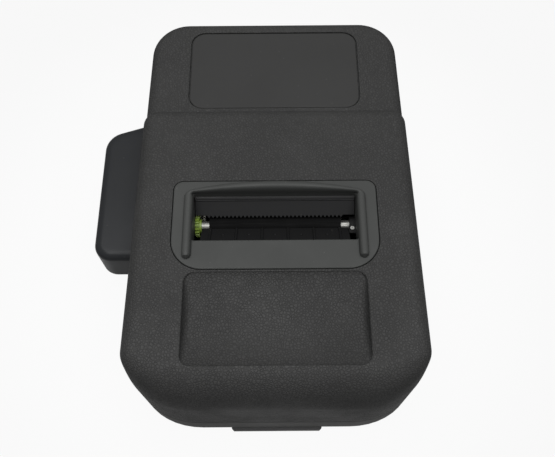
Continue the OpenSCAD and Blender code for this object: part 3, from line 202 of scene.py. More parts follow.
def case_sizes():
    """The case's sizes, with the values that follow from them"""
    s = sizes(bpy.context.scene.printer_case)
    s.front_y, s.rear_y = -s.case_l / 2, s.case_l / 2
    s.deck_z = s.case_h - s.deck_drop
    s.crest_r = s.edge_r + 0.5
    s.label_mid = s.rear_y - LABEL_INSET - s.label_l / 2
    s.label_z = s.deck_z - LABEL_DEPTH
    s.dish_mid = exit_sizes().bezel_front - DISH_GAP - s.dish_l / 2
    return s


def exit_sizes():
    """The paper exit's sizes, with the values that follow from them"""
    e = sizes(bpy.context.scene.printer_exit)
    e.bezel_front = e.bezel_rear - e.bezel_l
    case_h = bpy.context.scene.printer_case.case_h / MM
    e.top = case_h + BEZEL_RISE
    e.under = e.top - BEZEL_T
    e.roller = np.array([ROLLER_Y, case_h - ROLLER_DROP])
    return e


# Surfaces

def arc(cx, cy, rx, ry, a0, a1, n):
    """Points c + r (cos a, sin a) for n + 1 angles; centres and radii may be columns, one per ring"""
    a = np.radians(np.linspace(a0, a1, n + 1))
    return np.stack(np.broadcast_arrays(cx + rx * np.cos(a), cy + ry * np.sin(a)), -1)


def outline(y0, y1, wf, wr, rf, rr, s=0.0, f=0.0, b=0.0, corner=(24, 14), straight=(30, 60, 24)):
    """Rings of a four-sided outline from above: elliptical corner arcs joined by straights.

    The ends are y0 and y1, the half widths wf and wr, and the corners reach rf and rr, of which rf may
    be a pair across and along. The sides, the front and the rear are drawn in by s, f and b, which may
    be columns with one value per ring.
    """
    s, f, b = (np.reshape(np.asarray(v, float), (-1, 1)) for v in (s, f, b))
    fx, fy = np.broadcast_to(rf, 2)
    corners = [arc(wf - fx, y0 + fy, fx - s, fy - f, -90, 0, corner[0]),
               arc(wr - rr, y1 - rr, rr - s, rr - b, 0, 90, corner[1]),
               arc(rr - wr, y1 - rr, rr - s, rr - b, 90, 180, corner[1]),
               arc(fx - wf, y0 + fy, fx - s, fy - f, 180, 270, corner[0])]
    parts = []
    for k, n in enumerate((straight[1], straight[2], straight[1], straight[0])):
        here, after = corners[k], corners[(k + 1) % 4]
        t = (np.arange(1, n) / n)[None, :, None]
        parts += [here, here[:, -1:] * (1 - t) + after[:, :1] * t]
    return np.concatenate(parts, 1)


def rings_at(rings, heights):
    """Rings of (x, y) points lifted to one height per ring, or to one height per point"""
    rings = np.asarray(rings)
    heights = np.asarray(heights, float)
    if heights.ndim == 1:
        heights = heights[:, None]
    z = np.broadcast_to(heights, rings.shape[:2])
    return np.concatenate([rings, z[..., None]], -1)


def drawn_in(reach, r, h):
    """How far an elliptical rounding draws in at height h above its start"""
    return reach * (1 - np.sqrt(1 - np.clip(h / r, 0, 1) ** 2))


def to_row(points):
    """Points in millimetres from the middle of the case, as metres in the row frame"""
    return np.asarray(points, float).reshape(-1, 3) * MM + CASE_MID


def mesh_of(name, points, quads, caps=()):
    """A mesh from an array of points, an array of quads and a few larger faces"""
    mesh = bpy.data.meshes.new(name)
    mesh.from_pydata(to_row(points).tolist(), [], np.asarray(quads).reshape(-1, 4).tolist()
                     + [list(map(int, c)) for c in caps])
    mesh.update()
    return mesh


def grid_quads(rows, cols, start=0, closed=True):
    """Quads between neighbouring rows of a grid, whose columns may close into rings"""
    j = np.arange(rows - 1)[:, None]
    i = np.arange(cols if closed else cols - 1)[None, :]
    k = (i + 1) % cols
    return start + np.stack([j * cols + i, j * cols + k, (j + 1) * cols + k, (j + 1) * cols + i],
                            -1).reshape(-1, 4)


def loft(name, rings):
    """A closed solid skinned over rings that run counterclockwise seen from the last one"""
    m, n = rings.shape[:2]
    last = (m - 1) * n
    return mesh_of(name, rings, grid_quads(m, n),
                   [range(n - 1, -1, -1), range(last, last + n)])


def many(name, parts):
    """Several lofts, each an array of rings, in one mesh of separate closed solids"""
    points, quads, caps, start = [], [], [], 0
    for rings in parts:
        m, n = rings.shape[:2]
        last = start + (m - 1) * n
        points.append(rings.reshape(-1, 3))
        quads.append(grid_quads(m, n, start))
        caps += [range(start + n - 1, start - 1, -1), range(last, last + n)]
        start += m * n
    return mesh_of(name, np.concatenate(points), np.concatenate(quads), caps)


def block(a, b):
    """Rings of a box between two corners"""
    (x0, y0, z0), (x1, y1, z1) = a, b
    ring = np.array([[x0, y0], [x1, y0], [x1, y1], [x0, y1]])
    return rings_at([ring, ring], [z0, z1])


AXES = {"x": (1, 2, 0), "y": (2, 0, 1), "z": (0, 1, 2)}


def turned(axis, centre, profile, steps=48):
    """Rings of a turned shape: profile holds (radius, place along the axis) pairs in order"""
    profile = np.asarray(profile, float)
    a = 2 * np.pi * np.arange(steps) / steps
    rings = np.zeros((len(profile), steps, 3))
    u, v, w = AXES[axis]
    rings[..., u] = centre[u] + profile[:, :1] * np.cos(a)
    rings[..., v] = centre[v] + profile[:, :1] * np.sin(a)
    rings[..., w] = centre[w] + profile[:, 1:]
    return rings


def rod(axis, start, reach, r, steps=40):
    """Rings of a plain round bar from a start point"""
    return turned(axis, start, [(r, 0), (r, reach)], steps)


def carved(name, base, steps):
    """The base mesh after each (operation, mesh) step, as one new mesh of whole solids"""
    scene = bpy.context.scene.collection
    holder = bpy.data.objects.new(name, base)
    scene.objects.link(holder)
    helpers = []
    for operation, mesh in steps:
        tool = bpy.data.objects.new(name + "_tool", mesh)
        scene.objects.link(tool)
        helpers.append(tool)
        step = holder.modifiers.new("carve", "BOOLEAN")
        step.operation, step.solver, step.object = operation, "MANIFOLD", tool
    graph = bpy.context.evaluated_depsgraph_get()
    result = bpy.data.meshes.new_from_object(holder.evaluated_get(graph))
    for obj in [holder] + helpers:
        mesh = obj.data
        bpy.data.objects.remove(obj)
        bpy.data.meshes.remove(mesh)
    if not len(result.polygons):
        raise RuntimeError(name + " came out empty")
    result.name = name
    return result


def tidied(mesh, weld=2e-6):
    """The same mesh with its doubles merged and its slivers gone"""
    work = bmesh.new()
    work.from_mesh(mesh)
    bmesh.ops.remove_doubles(work, verts=work.verts, dist=weld)
    bmesh.ops.dissolve_degenerate(work, edges=work.edges, dist=weld)
    work.to_mesh(mesh)
    work.free()
    return mesh


def outward(mesh):
    """The same mesh with its faces turned outwards"""
    work = bmesh.new()
    work.from_mesh(mesh)
    bmesh.ops.remove_doubles(work, verts=work.verts, dist=1e-7)
    bmesh.ops.recalc_face_normals(work, faces=work.faces)
    work.to_mesh(mesh)
    work.free()
    return mesh


def finished(mesh, name, body, node, slot, sharp=35.0, bevel=0.0):
    """Makes the piece that stands for a node: smooth faces with crisp edges, an optional bevel in
    millimetres, and even shading on flats"""
    mesh.name = name
    obj = bpy.data.objects.new(name, mesh)
    bpy.context.scene.collection.objects.link(obj)
    mesh.shade_smooth()
    mesh.set_sharp_from_angle(angle=math.radians(sharp))
    if bevel:
        edge = obj.modifiers.new("edge", "BEVEL")
        edge.width, edge.segments, edge.limit_method = bevel * MM, 2, "ANGLE"
        edge.angle_limit, edge.harden_normals = math.radians(sharp), False
        edge.miter_outer = "MITER_ARC"
    even = obj.modifiers.new("even", "WEIGHTED_NORMAL")
    even.mode, even.keep_sharp, even.weight = "FACE_AREA", not bevel, 60
    graph = bpy.context.evaluated_depsgraph_get()
    baked = bpy.data.meshes.new_from_object(obj.evaluated_get(graph))
    obj.modifiers.clear()
    obj.data = baked
    bpy.data.meshes.remove(mesh)
    baked.name = name
    baked.materials.clear()
    baked.materials.append(MATERIALS[slot])
    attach(obj, body)
    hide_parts(node)
    return obj


# Finishes

def node_group(name, inputs, outputs):
    """A shader group with the named sockets, its input node and its output node"""
    group = bpy.data.node_groups.new(name, "ShaderNodeTree")
    for label, kind, value in inputs:
        socket = group.interface.new_socket(label, in_out="INPUT", socket_type=kind)
        if value is not None:
            socket.default_value = value
    for label, kind in outputs:
        group.interface.new_socket(label, in_out="OUTPUT", socket_type=kind)
    return group, group.nodes.new("NodeGroupInput"), group.nodes.new("NodeGroupOutput")


def add(tree, kind, links=(), **settings):
    """A node with its settings and its inputs, each of which gets a value or a socket"""
    node = tree.nodes.new(kind)
    for key, value in settings.items():
        setattr(node, key, value)
    for key, value in dict(links).items():
        socket = node.inputs[key]
        if isinstance(value, bpy.types.NodeSocket):
            tree.links.new(value, socket)
        else:
            socket.default_value = value
    return node


def math_node(tree, operation, a, b=0.0, clamp=False):
    """The result socket of one operation on two values"""
    return add(tree, "ShaderNodeMath", {0: a, 1: b}, operation=operation, use_clamp=clamp).outputs[0]


def ramp(tree, value, low, high, to_low=0.0, to_high=1.0):
    """A smooth step of value between low and high"""
    return add(tree, "ShaderNodeMapRange", {"Value": value, "From Min": low, "From Max": high,
               "To Min": to_low, "To Max": to_high}, interpolation_type="SMOOTHSTEP").outputs[0]


def leather_group():
    """Moulded leather grain: rounded pebbles of uneven size with creases, and a fine roughness; the plastic
    uses the crease mask for painted shade in the creases
    """
    group, ins, outs = node_group("Moulded leather", [("Vector", "NodeSocketVector", None),
                                                      ("Pebbles per metre", "NodeSocketFloat", 900.0)],
                                  [("Height", "NodeSocketFloat"), ("Crease", "NodeSocketFloat")])
    vector, per = ins.outputs[0], ins.outputs[1]
    bend = add(group, "ShaderNodeTexNoise", {"Vector": vector, "Scale": 260.0, "Detail": 2.0})
    shift = add(group, "ShaderNodeVectorMath", {0: bend.outputs["Color"], 1: (0.5, 0.5, 0.5)},
                operation="SUBTRACT")
    small = add(group, "ShaderNodeVectorMath", {0: shift.outputs[0], "Scale": 0.0016}, operation="SCALE")
    place = add(group, "ShaderNodeVectorMath", {0: vector, 1: small.outputs[0]}, operation="ADD").outputs[0]
    cells = add(group, "ShaderNodeTexVoronoi", {"Vector": place, "Scale": per, "Randomness": 0.95},
                feature="DISTANCE_TO_EDGE")
    crease = ramp(group, cells.outputs["Distance"], 0.0, 0.22)
    wide = add(group, "ShaderNodeTexNoise", {"Vector": place, "Scale": 420.0, "Detail": 3.0,
                                             "Roughness": 0.6})
    fine = add(group, "ShaderNodeTexNoise", {"Vector": place, "Scale": 3200.0, "Detail": 2.0})
    rise = math_node(group, "MULTIPLY", crease, math_node(group, "ADD", wide.outputs[0], 0.25))
    total = math_node(group, "ADD", rise, math_node(group, "MULTIPLY", fine.outputs[0], 0.12))
    group.links.new(total, outs.inputs["Height"])
    group.links.new(crease, outs.inputs["Crease"])
    return group


def moulding_group():
    """Fine even texture of a spark-eroded mould, with a faint waviness of the wall"""
    group, ins, outs = node_group("Spark grain", [("Vector", "NodeSocketVector", None),
                                                  ("Grains per metre", "NodeSocketFloat", 2500.0)],
                                  [("Height", "NodeSocketFloat")])
    vector, per = ins.outputs[0], ins.outputs[1]
    fine = add(group, "ShaderNodeTexNoise", {"Vector": vector, "Scale": per, "Detail": 2.5, "Roughness": 0.6})
    wave = add(group, "ShaderNodeTexNoise", {"Vector": vector, "Scale": 45.0, "Detail": 1.0})
    total = math_node(group, "ADD", fine.outputs[0], math_node(group, "MULTIPLY", wave.outputs[0], 1.5))
    group.links.new(total, outs.inputs["Height"])
    return group


def handling_group():
    """Broad uneven sheen where hands have rubbed, and thin hairline scratches"""
    group, ins, outs = node_group("Handling", [("Vector", "NodeSocketVector", None)],
                                  [("Rub", "NodeSocketFloat"), ("Scratch", "NodeSocketFloat")])
    vector = ins.outputs[0]
    broad = add(group, "ShaderNodeTexNoise", {"Vector": vector, "Scale": 28.0, "Detail": 4.0,
                                              "Roughness": 0.62})
    group.links.new(ramp(group, broad.outputs[0], 0.35, 0.68), outs.inputs["Rub"])
    turn = add(group, "ShaderNodeMapping", {"Vector": vector, "Rotation": (0.2, 0.1, 0.55),
                                            "Scale": (1.0, 22.0, 8.0)})
    streak = add(group, "ShaderNodeTexNoise", {"Vector": turn.outputs[0], "Scale": 70.0, "Detail": 3.0})
    group.links.new(ramp(group, streak.outputs[0], 0.68, 0.74), outs.inputs["Scratch"])
    return group


def dust_group():
    """Sparse pale specks of dust"""
    group, ins, outs = node_group("Dust", [("Vector", "NodeSocketVector", None)],
                                  [("Specks", "NodeSocketFloat")])
    vector = ins.outputs[0]
    cells = add(group, "ShaderNodeTexVoronoi", {"Vector": vector, "Scale": 520.0})
    dot = ramp(group, cells.outputs["Distance"], 0.16, 0.05)
    pick = add(group, "ShaderNodeSeparateColor", {0: cells.outputs["Color"]})
    some = math_node(group, "GREATER_THAN", pick.outputs[0], 0.9)
    group.links.new(math_node(group, "MULTIPLY", dot, some), outs.inputs["Specks"])
    return group


# Shader groups and materials made so far, by name
GROUPS, MATERIALS = {}, {}
GROUP_MAKERS = {"leather": leather_group, "moulding": moulding_group, "handling": handling_group,
                "dust": dust_group}


def shared(tree, name, **links):
    """A copy of a shared group's node in a material, made on its first use"""
    if name not in GROUPS:
        GROUPS[name] = GROUP_MAKERS[name]()
    node = tree.nodes.new("ShaderNodeGroup")
    node.node_tree = GROUPS[name]
    for key, value in links.items():
        socket = node.inputs[key.replace("_", " ")]
        if isinstance(value, bpy.types.NodeSocket):
            tree.links.new(value, socket)
        else:
            socket.default_value = value
    return node


def surface(name, rough, metal=0.0, specular=0.5, coat=0.0, coat_rough=0.1):
    """A material with one shader, whose constants sit on the shader's own sockets"""
    material = bpy.data.materials.new(name)
    material.use_nodes = True
    tree = material.node_tree
    shader = tree.nodes["Principled BSDF"]
    for key, value in (("Roughness", rough), ("Metallic", metal), ("Specular IOR Level", specular),
                       ("Coat Weight", coat), ("Coat Roughness", coat_rough)):
        shader.inputs[key].default_value = value
    where = tree.nodes.new("ShaderNodeTexCoord").outputs["Object"]
    return material, tree, shader, where


def bump(tree, shader, height, depth, strength=1.0):
    """Joins a height to the shader's normal, depth in millimetres"""
    node = add(tree, "ShaderNodeBump", {"Height": height, "Distance": depth * MM, "Strength": strength})
    tree.links.new(node.outputs[0], shader.inputs["Normal"])


def mixed(tree, factor, a, b):
    """The colour between a and b, which are the sockets 6 and 7 of a node that mixes colours"""
    node = add(tree, "ShaderNodeMix", data_type="RGBA")
    for index, value in ((0, factor), (6, a), (7, b)):
        if isinstance(value, bpy.types.NodeSocket):
            tree.links.new(value, node.inputs[index])
        else:
            node.inputs[index].default_value = value if index == 0 else (*value[:3], 1.0)
    return node.outputs[2]


def scaled(colour, share):
    """A colour times a share"""
    return tuple(min(1.0, c * share) for c in colour)


DUST_COLOUR = (0.35, 0.34, 0.32)


def plastic(name, colour, rough, depth=0.02, grain="moulding", per=2500.0, specular=0.5, rub=0.12,
            dust=0.1):
    """Moulded plastic: grain, painted shade that darkens the creases of a leather grain, rubbed patches that
    are smoother and a little paler, and dust
    """
    spread = scratched = 0.12
    material, tree, shader, where = surface(name, rough, specular=specular)
    hands = shared(tree, "handling", Vector=where)
    specks = shared(tree, "dust", Vector=where).outputs[0]
    if grain == "leather":
        relief = shared(tree, "leather", Vector=where, Pebbles_per_metre=per)
        # Painted shade: with the leather grain the colour is darker in the creases and paler on the pebbles
        ground = mixed(tree, relief.outputs["Crease"], scaled(colour, 0.72), scaled(colour, 1.08))
    else:
        relief = shared(tree, "moulding", Vector=where, Grains_per_metre=per)
        ground = colour
    worn = mixed(tree, math_node(tree, "MULTIPLY", hands.outputs["Rub"], rub), ground, scaled(colour, 1.9))
    dusty = mixed(tree, math_node(tree, "MULTIPLY", specks, dust), worn, DUST_COLOUR)
    tree.links.new(dusty, shader.inputs["Base Color"])
    sheen = ramp(tree, hands.outputs["Rub"], 0.0, 1.0, rough + spread / 2, rough - spread / 2)
    scuffs = math_node(tree, "MULTIPLY", hands.outputs["Scratch"], scratched)
    tree.links.new(math_node(tree, "ADD", sheen, scuffs, clamp=True), shader.inputs["Roughness"])
    bump(tree, shader, relief.outputs["Height"], depth)
    return material


def rubber(name, colour, across, specular=0.3):
    """Rubber with fine grinding marks along one axis and a bloom of paper dust"""
    material, tree, shader, where = surface(name, 0.7, specular=specular)
    stretch = [3.0, 3.0, 3.0]
    stretch[across] = 0.05
    marks = add(tree, "ShaderNodeMapping", {"Vector": where, "Scale": stretch})
    lines = add(tree, "ShaderNodeTexNoise", {"Vector": marks.outputs[0], "Scale": 1500.0, "Detail": 3.0})
    bloom = add(tree, "ShaderNodeTexNoise", {"Vector": where, "Scale": 160.0, "Detail": 4.0})
    pale = ramp(tree, bloom.outputs[0], 0.45, 0.75, 0.0, 0.2)
    tree.links.new(mixed(tree, pale, colour, scaled(colour, 3.0)), shader.inputs["Base Color"])
    tree.links.new(ramp(tree, lines.outputs[0], 0.3, 0.7, 0.55, 0.8), shader.inputs["Roughness"])
    bump(tree, shader, lines.outputs[0], 0.02)
    return material


def metal(name, colour, rough, drawn=(1.0, 1.0, 1.0), depth=0.004, spots=0.35):
    """Metal with drawing or turning marks, uneven roughness and a dull film in spots"""
    material, tree, shader, where = surface(name, rough, metal=1.0)
    marks = add(tree, "ShaderNodeMapping", {"Vector": where, "Scale": drawn})
    lines = add(tree, "ShaderNodeTexNoise", {"Vector": marks.outputs[0], "Scale": 1800.0, "Detail": 3.0})
    film = add(tree, "ShaderNodeTexNoise", {"Vector": where, "Scale": 260.0, "Detail": 4.0})
    dull = ramp(tree, film.outputs[0], 0.42, 0.72, 0.0, spots)
    tree.links.new(mixed(tree, dull, colour, scaled(colour, 0.5)), shader.inputs["Base Color"])
    brushed = ramp(tree, lines.outputs[0], 0.25, 0.75, rough * 0.7, min(1.0, rough * 1.5))
    tree.links.new(brushed, shader.inputs["Roughness"])
    bump(tree, shader, lines.outputs[0], depth)
    return material


def board(name, colour):
    """Circuit board: solder resist over copper tracks, with tinned pads"""
    material, tree, shader, where = surface(name, 0.35, coat=0.4, coat_rough=0.2)
    tracks = add(tree, "ShaderNodeTexBrick", {"Vector": where, "Scale": 330.0, "Mortar Size": 0.08,
                 "Brick Width": 0.9, "Row Height": 0.3, "Color1": (0, 0, 0, 1), "Color2": (1, 1, 1, 1),
                 "Mortar": (0, 0, 0, 1)})
    over = ramp(tree, tracks.outputs["Color"], 0.3, 0.7)
    pads = add(tree, "ShaderNodeTexVoronoi", {"Vector": where, "Scale": 240.0, "Randomness": 0.3})
    pad = ramp(tree, pads.outputs["Distance"], 0.17, 0.14)
    green = mixed(tree, over, colour, scaled(colour, 1.7))
    tree.links.new(mixed(tree, pad, green, (0.5, 0.5, 0.48)), shader.inputs["Base Color"])
    tree.links.new(ramp(tree, pad, 0.0, 1.0, 0.0, 0.9), shader.inputs["Metallic"])
    bump(tree, shader, math_node(tree, "ADD", over, pad), 0.03)
    return material


def glossy(name, colour, rough, glow=0.0):
    """Clear-coated plastic, such as a lens, a sleeve or a light pipe"""
    material, tree, shader, where = surface(name, rough, coat=0.6, coat_rough=0.06)
    hands = shared(tree, "handling", Vector=where)
    specks = shared(tree, "dust", Vector=where).outputs[0]
    tone = mixed(tree, hands.outputs["Rub"], scaled(colour, 0.85), scaled(colour, 1.15))
    flecked = mixed(tree, math_node(tree, "MULTIPLY", specks, 0.1), tone, (0.4, 0.39, 0.37))
    tree.links.new(flecked, shader.inputs["Base Color"])
    scratched = ramp(tree, hands.outputs["Scratch"], 0.0, 1.0, rough, rough + 0.2)
    tree.links.new(scratched, shader.inputs["Roughness"])
    wave = add(tree, "ShaderNodeTexNoise", {"Vector": where, "Scale": 220.0, "Detail": 1.0})
    bump(tree, shader, wave.outputs[0], 0.01)
    if glow:
        shader.inputs["Subsurface Weight"].default_value = glow
        shader.inputs["Subsurface Scale"].default_value = 0.001
    return material


class PRINTER_OT_finishes(bpy.types.Operator):
    """Makes one material for each material slot of the record"""
    bl_idname = "printer.finishes"
    bl_label = "Finishes"

    def execute(self, context):
        tints = context.scene.printer_colours
        case, base, label, bezel, pack, inner, panel, gear = (
            tuple(getattr(tints, name))
            for name in ("case", "base", "label", "bezel", "pack", "inner", "panel", "gear"))
        recipes = {
            "grained_case": (plastic, case, dict(rough=0.55, depth=0.14, grain="leather", per=1000.0,
                                                 specular=0.16, dust=0.12)),
            # The base colour is partly painted light for the bright rim along its front
            "base_plastic": (plastic, base, dict(rough=0.6, depth=0.04, per=1800.0, specular=0.12)),
            "label_plastic": (plastic, label, dict(rough=0.5, depth=0.01, per=3200.0, specular=0.12,
                                                   rub=0.08)),
            "bezel_plastic": (plastic, bezel, dict(rough=0.45, depth=0.008, per=3000.0, specular=0.15,
                                                   rub=0.1)),
            "inner_plastic": (plastic, inner, dict(rough=0.5, specular=0.12, dust=0.15)),
            "panel_plastic": (plastic, panel, dict(rough=0.4, depth=0.01, specular=0.2)),
            "pack_plastic": (plastic, pack, dict(rough=0.35, depth=0.006, per=2800.0, specular=0.15)),
            "latch_plastic": (plastic, inner, dict(rough=0.45)),
            "gear_green": (plastic, gear, dict(rough=0.38, depth=0.006, rub=0.1, dust=0.3)),
            "gear_white": (plastic, (0.62, 0.61, 0.56), dict(rough=0.35, depth=0.006, rub=0.05)),
            "chip_black": (plastic, (0.015, 0.015, 0.016), dict(rough=0.5, depth=0.015, per=4000.0)),
            "connector_ivory": (plastic, (0.6, 0.55, 0.43), dict(rough=0.4, depth=0.008)),
            "key_red": (plastic, (0.27, 0.02, 0.016), dict(rough=0.45, depth=0.015)),
            "key_grey": (plastic, (0.12, 0.13, 0.13), dict(rough=0.45, depth=0.015)),
            "roller_rubber": (rubber, (0.0035, 0.0035, 0.0036), dict(across=0, specular=0.05)),
            "foot_rubber": (rubber, (0.014, 0.014, 0.014), dict(across=2)),
            "bright_steel": (metal, (0.36, 0.36, 0.34), dict(rough=0.5, drawn=(0.1, 3.0, 3.0))),
            "dark_screws": (metal, (0.11, 0.11, 0.115), dict(rough=0.35)),
            "motor_can": (metal, (0.5, 0.5, 0.51), dict(rough=0.3, drawn=(0.2, 2.0, 2.0))),
            "brass": (metal, (0.62, 0.45, 0.18), dict(rough=0.25)),
            "gold_contacts": (metal, (0.78, 0.57, 0.22), dict(rough=0.18, spots=0.15)),
            "head_aluminium": (metal, (0.6, 0.6, 0.61), dict(rough=0.4, depth=0.01)),
            "switch_metal": (metal, (0.55, 0.55, 0.55), dict(rough=0.3)),
            "head_ceramic": (glossy, (0.55, 0.53, 0.47), dict(rough=0.15)),
            "capacitor_sleeve": (glossy, (0.02, 0.03, 0.1), dict(rough=0.2)),
            "lens_red": (glossy, (0.03, 0.003, 0.004), dict(rough=0.06)),
            "light_pipe": (glossy, (0.3, 0.55, 0.25), dict(rough=0.15, glow=0.3)),
            "cell_wrap": (glossy, (0.05, 0.16, 0.3), dict(rough=0.25)),
            "board_green": (board, (0.012, 0.075, 0.03), {}),
        }
        for slot, (maker, colour, looks) in recipes.items():
            MATERIALS[slot] = maker(slot, colour, **looks)
        for part in frame["record"]["subparts"]:
            for holder in frame["nodes"][part["node"]].material_slots:
                holder.material = MATERIALS[part["material_slot"]]
        return {"FINISHED"}


# Case

def half_at(s, y):
    """Half width of the case at y"""
    y0, y1 = s.front_y + s.front_r, s.rear_y - s.rear_r
    return s.front_w / 2 + (s.rear_w - s.front_w) / 2 * np.clip((y - y0) / (y1 - y0), 0, 1)


def raised_rings(s, off, z0, steps, **counts):
    """The raised part, or its hollow where off is the wall: rings at rising heights, the front drawn
    in by an ellipse and the sides by an arc"""
    r, top, nose_h, nose_l = s.edge_r - off, s.case_h - off, s.nose_h - off, s.nose_l - off
    z = top - nose_h + nose_h * np.sin(np.linspace(0, np.pi / 2, steps + 1))
    z = np.concatenate([[z0, z0 + SEAM_BEVEL], z])
    draw = drawn_in(r, r, z - top + r)
    front = drawn_in(nose_l, nose_h, z - top + nose_h)
    if not off:
        draw[0] = front[0] = SEAM_BEVEL
    rear_half = half_at(s, s.step_y - s.crest_r)
    rings = outline(s.front_y + off, s.step_y - off, s.front_w / 2 - off, rear_half - off,
                    (s.front_reach - off, s.front_r - off), s.crest_r - off, draw, front, draw, **counts)
    return rings_at(rings, z)


def deck_rings(s, off, z0, steps, **counts):
    """The deck behind the raised part, or its hollow; its front end lies inside the raised part, and its
    sides a hair inside, so that no faces coincide"""
    r, top, start = s.edge_r - off, s.deck_z - off, s.step_y - DECK_OVERLAP
    z = np.concatenate([[z0, z0 + SEAM_BEVEL], top - r + r * np.sin(np.linspace(0, np.pi / 2, steps + 1))])
    draw = drawn_in(r, r, z - top + r)
    if not off:
        draw[0] = SEAM_BEVEL
    side = off or HAIR
    rings = outline(start - r, s.rear_y - off, half_at(s, start) - side, s.rear_w / 2 - side, r + 0.5,
                    s.rear_r - off, draw, 0.0, draw, **counts)
    return rings_at(rings, z)


def lip_cutter(grown, z_floor, z_top, lip):
    """Rings of a pocket's cutter: straight up from its floor, then flaring in a quarter round, and on
    past the face"""
    above, beyond = 0.6, 0.9
    a = np.radians(np.linspace(0, LIP_TURN, 7))
    z = np.concatenate([[z_floor], z_top - lip + lip * np.sin(a), [z_top + above]])
    d = np.concatenate([[0.0], lip * (1 - np.cos(a)), [lip * (1 - np.cos(a[-1])) + beyond]])
    return rings_at(np.concatenate([grown(v) for v in d]), z)


def tile_rings(w, l, r, mid, grow, n=14, straight=(24, 14, 24)):
    """A rounded rectangle's outline grown by an amount, with n steps in each corner"""
    half = w / 2 + grow
    return outline(mid - l / 2 - grow, mid + l / 2 + grow, half, half, r + grow, r + grow,
                   corner=(n, n), straight=straight)


def bezel_rings(e, grow):
    """The bezel's outline grown by an amount: large front corners and small rear ones"""
    half = e.bezel_w / 2 + grow
    return outline(e.bezel_front - grow, e.bezel_rear + grow, half, half, e.bezel_r + grow,
                   e.bezel_small_r + grow, corner=(22, 10), straight=(24, 14, 24))


def window_rings(e, grow):
    """The window's outline grown by an amount, with as many points as the bezel's"""
    half, r = e.window_w / 2 + grow, WINDOW_R + grow
    mid, reach = (e.window_front + e.window_rear) / 2, (e.window_rear - e.window_front) / 2 + grow
    return outline(mid - reach, mid + reach, half, half, r, r, corner=(22, 10), straight=(24, 14, 24))


def dish_low(s, y):
    """Floor of the dish from front to rear: the top less the rim and less the bow times (1 - v^2)^0.75"""
    v = np.clip((y - s.dish_mid) / (s.dish_l / 2), -1, 1)
    return s.case_h - DISH_RIM - (s.dish_depth - DISH_RIM) * (1 - v ** 2) ** 0.75


def dish_cutter(s, lip=0.5, fillet=2.8):
    """The thumb dish: a scoop from front to rear whose floor rises to the side walls in a quarter
    ellipse, and whose edge has a rounded lip"""
    def tile(grow):
        return tile_rings(s.dish_w, s.dish_l, 4.0, s.dish_mid, grow)[0]

    # The rings stand closer together towards the side walls
    offsets = fillet * np.linspace(1, 0.08, 16) ** 1.7
    rings = [tile(-d) for d in offsets]
    mid = np.array([0.0, s.dish_mid])
    inner = mid + (rings[0] - mid) * np.sin(np.linspace(0.02, np.pi / 2, 24))[:-1, None, None]
    floor = np.concatenate([inner, rings])
    side = 1 - np.clip((s.dish_w / 2 - np.abs(floor[..., 0])) / fillet, 0, 1)
    rim = s.case_h - DISH_RIM
    low = rim - (rim - dish_low(s, floor[..., 1])) * np.sqrt(1 - side ** 2)
    floor = np.concatenate([floor, low[..., None]], -1)
    lip_r = np.minimum(lip, (s.case_h - low[-1]) * 0.6)
    walls = [np.column_stack([tile(lip * (1 - np.cos(b))), s.case_h - lip_r * (1 - np.sin(b))])
             for b in np.radians(np.linspace(10, LIP_TURN, 6))]
    walls.append(np.column_stack([tile(lip + 0.5), np.full(len(rings[0]), s.case_h + 0.5)]))
    return np.concatenate([floor, walls])


def prism(x0, x1, yz):
    """Rings of a solid drawn out along X from a side profile of (y, z) points"""
    return np.stack([np.column_stack([np.full(len(yz), x), yz]) for x in (x0, x1)])


def dish_roof(s, roof):
    """The roof under the dish, which follows its floor"""
    beyond, bite = 1.2, 0.5
    reach = s.dish_l / 2 + beyond
    y = s.dish_mid - reach * np.cos(np.linspace(0, np.pi, 29))
    under = np.column_stack([y, dish_low(s, y) - s.wall])
    top = [[s.dish_mid + reach, roof + bite], [s.dish_mid - reach, roof + bite]]
    return prism(-s.dish_w / 2 - beyond, s.dish_w / 2 + beyond, np.concatenate([under, top]))


def case_posts(s):
    """Places of the four screw posts"""
    rear = (s.rear_w / 2 - REAR_POST_INSET[0], s.rear_y - REAR_POST_INSET[1])
    front = (s.front_w / 2 - FRONT_POST_INSET[0], s.front_y + FRONT_POST_INSET[1])
    return [(x * p[0], p[1]) for x in (-1, 1) for p in (rear, front)]


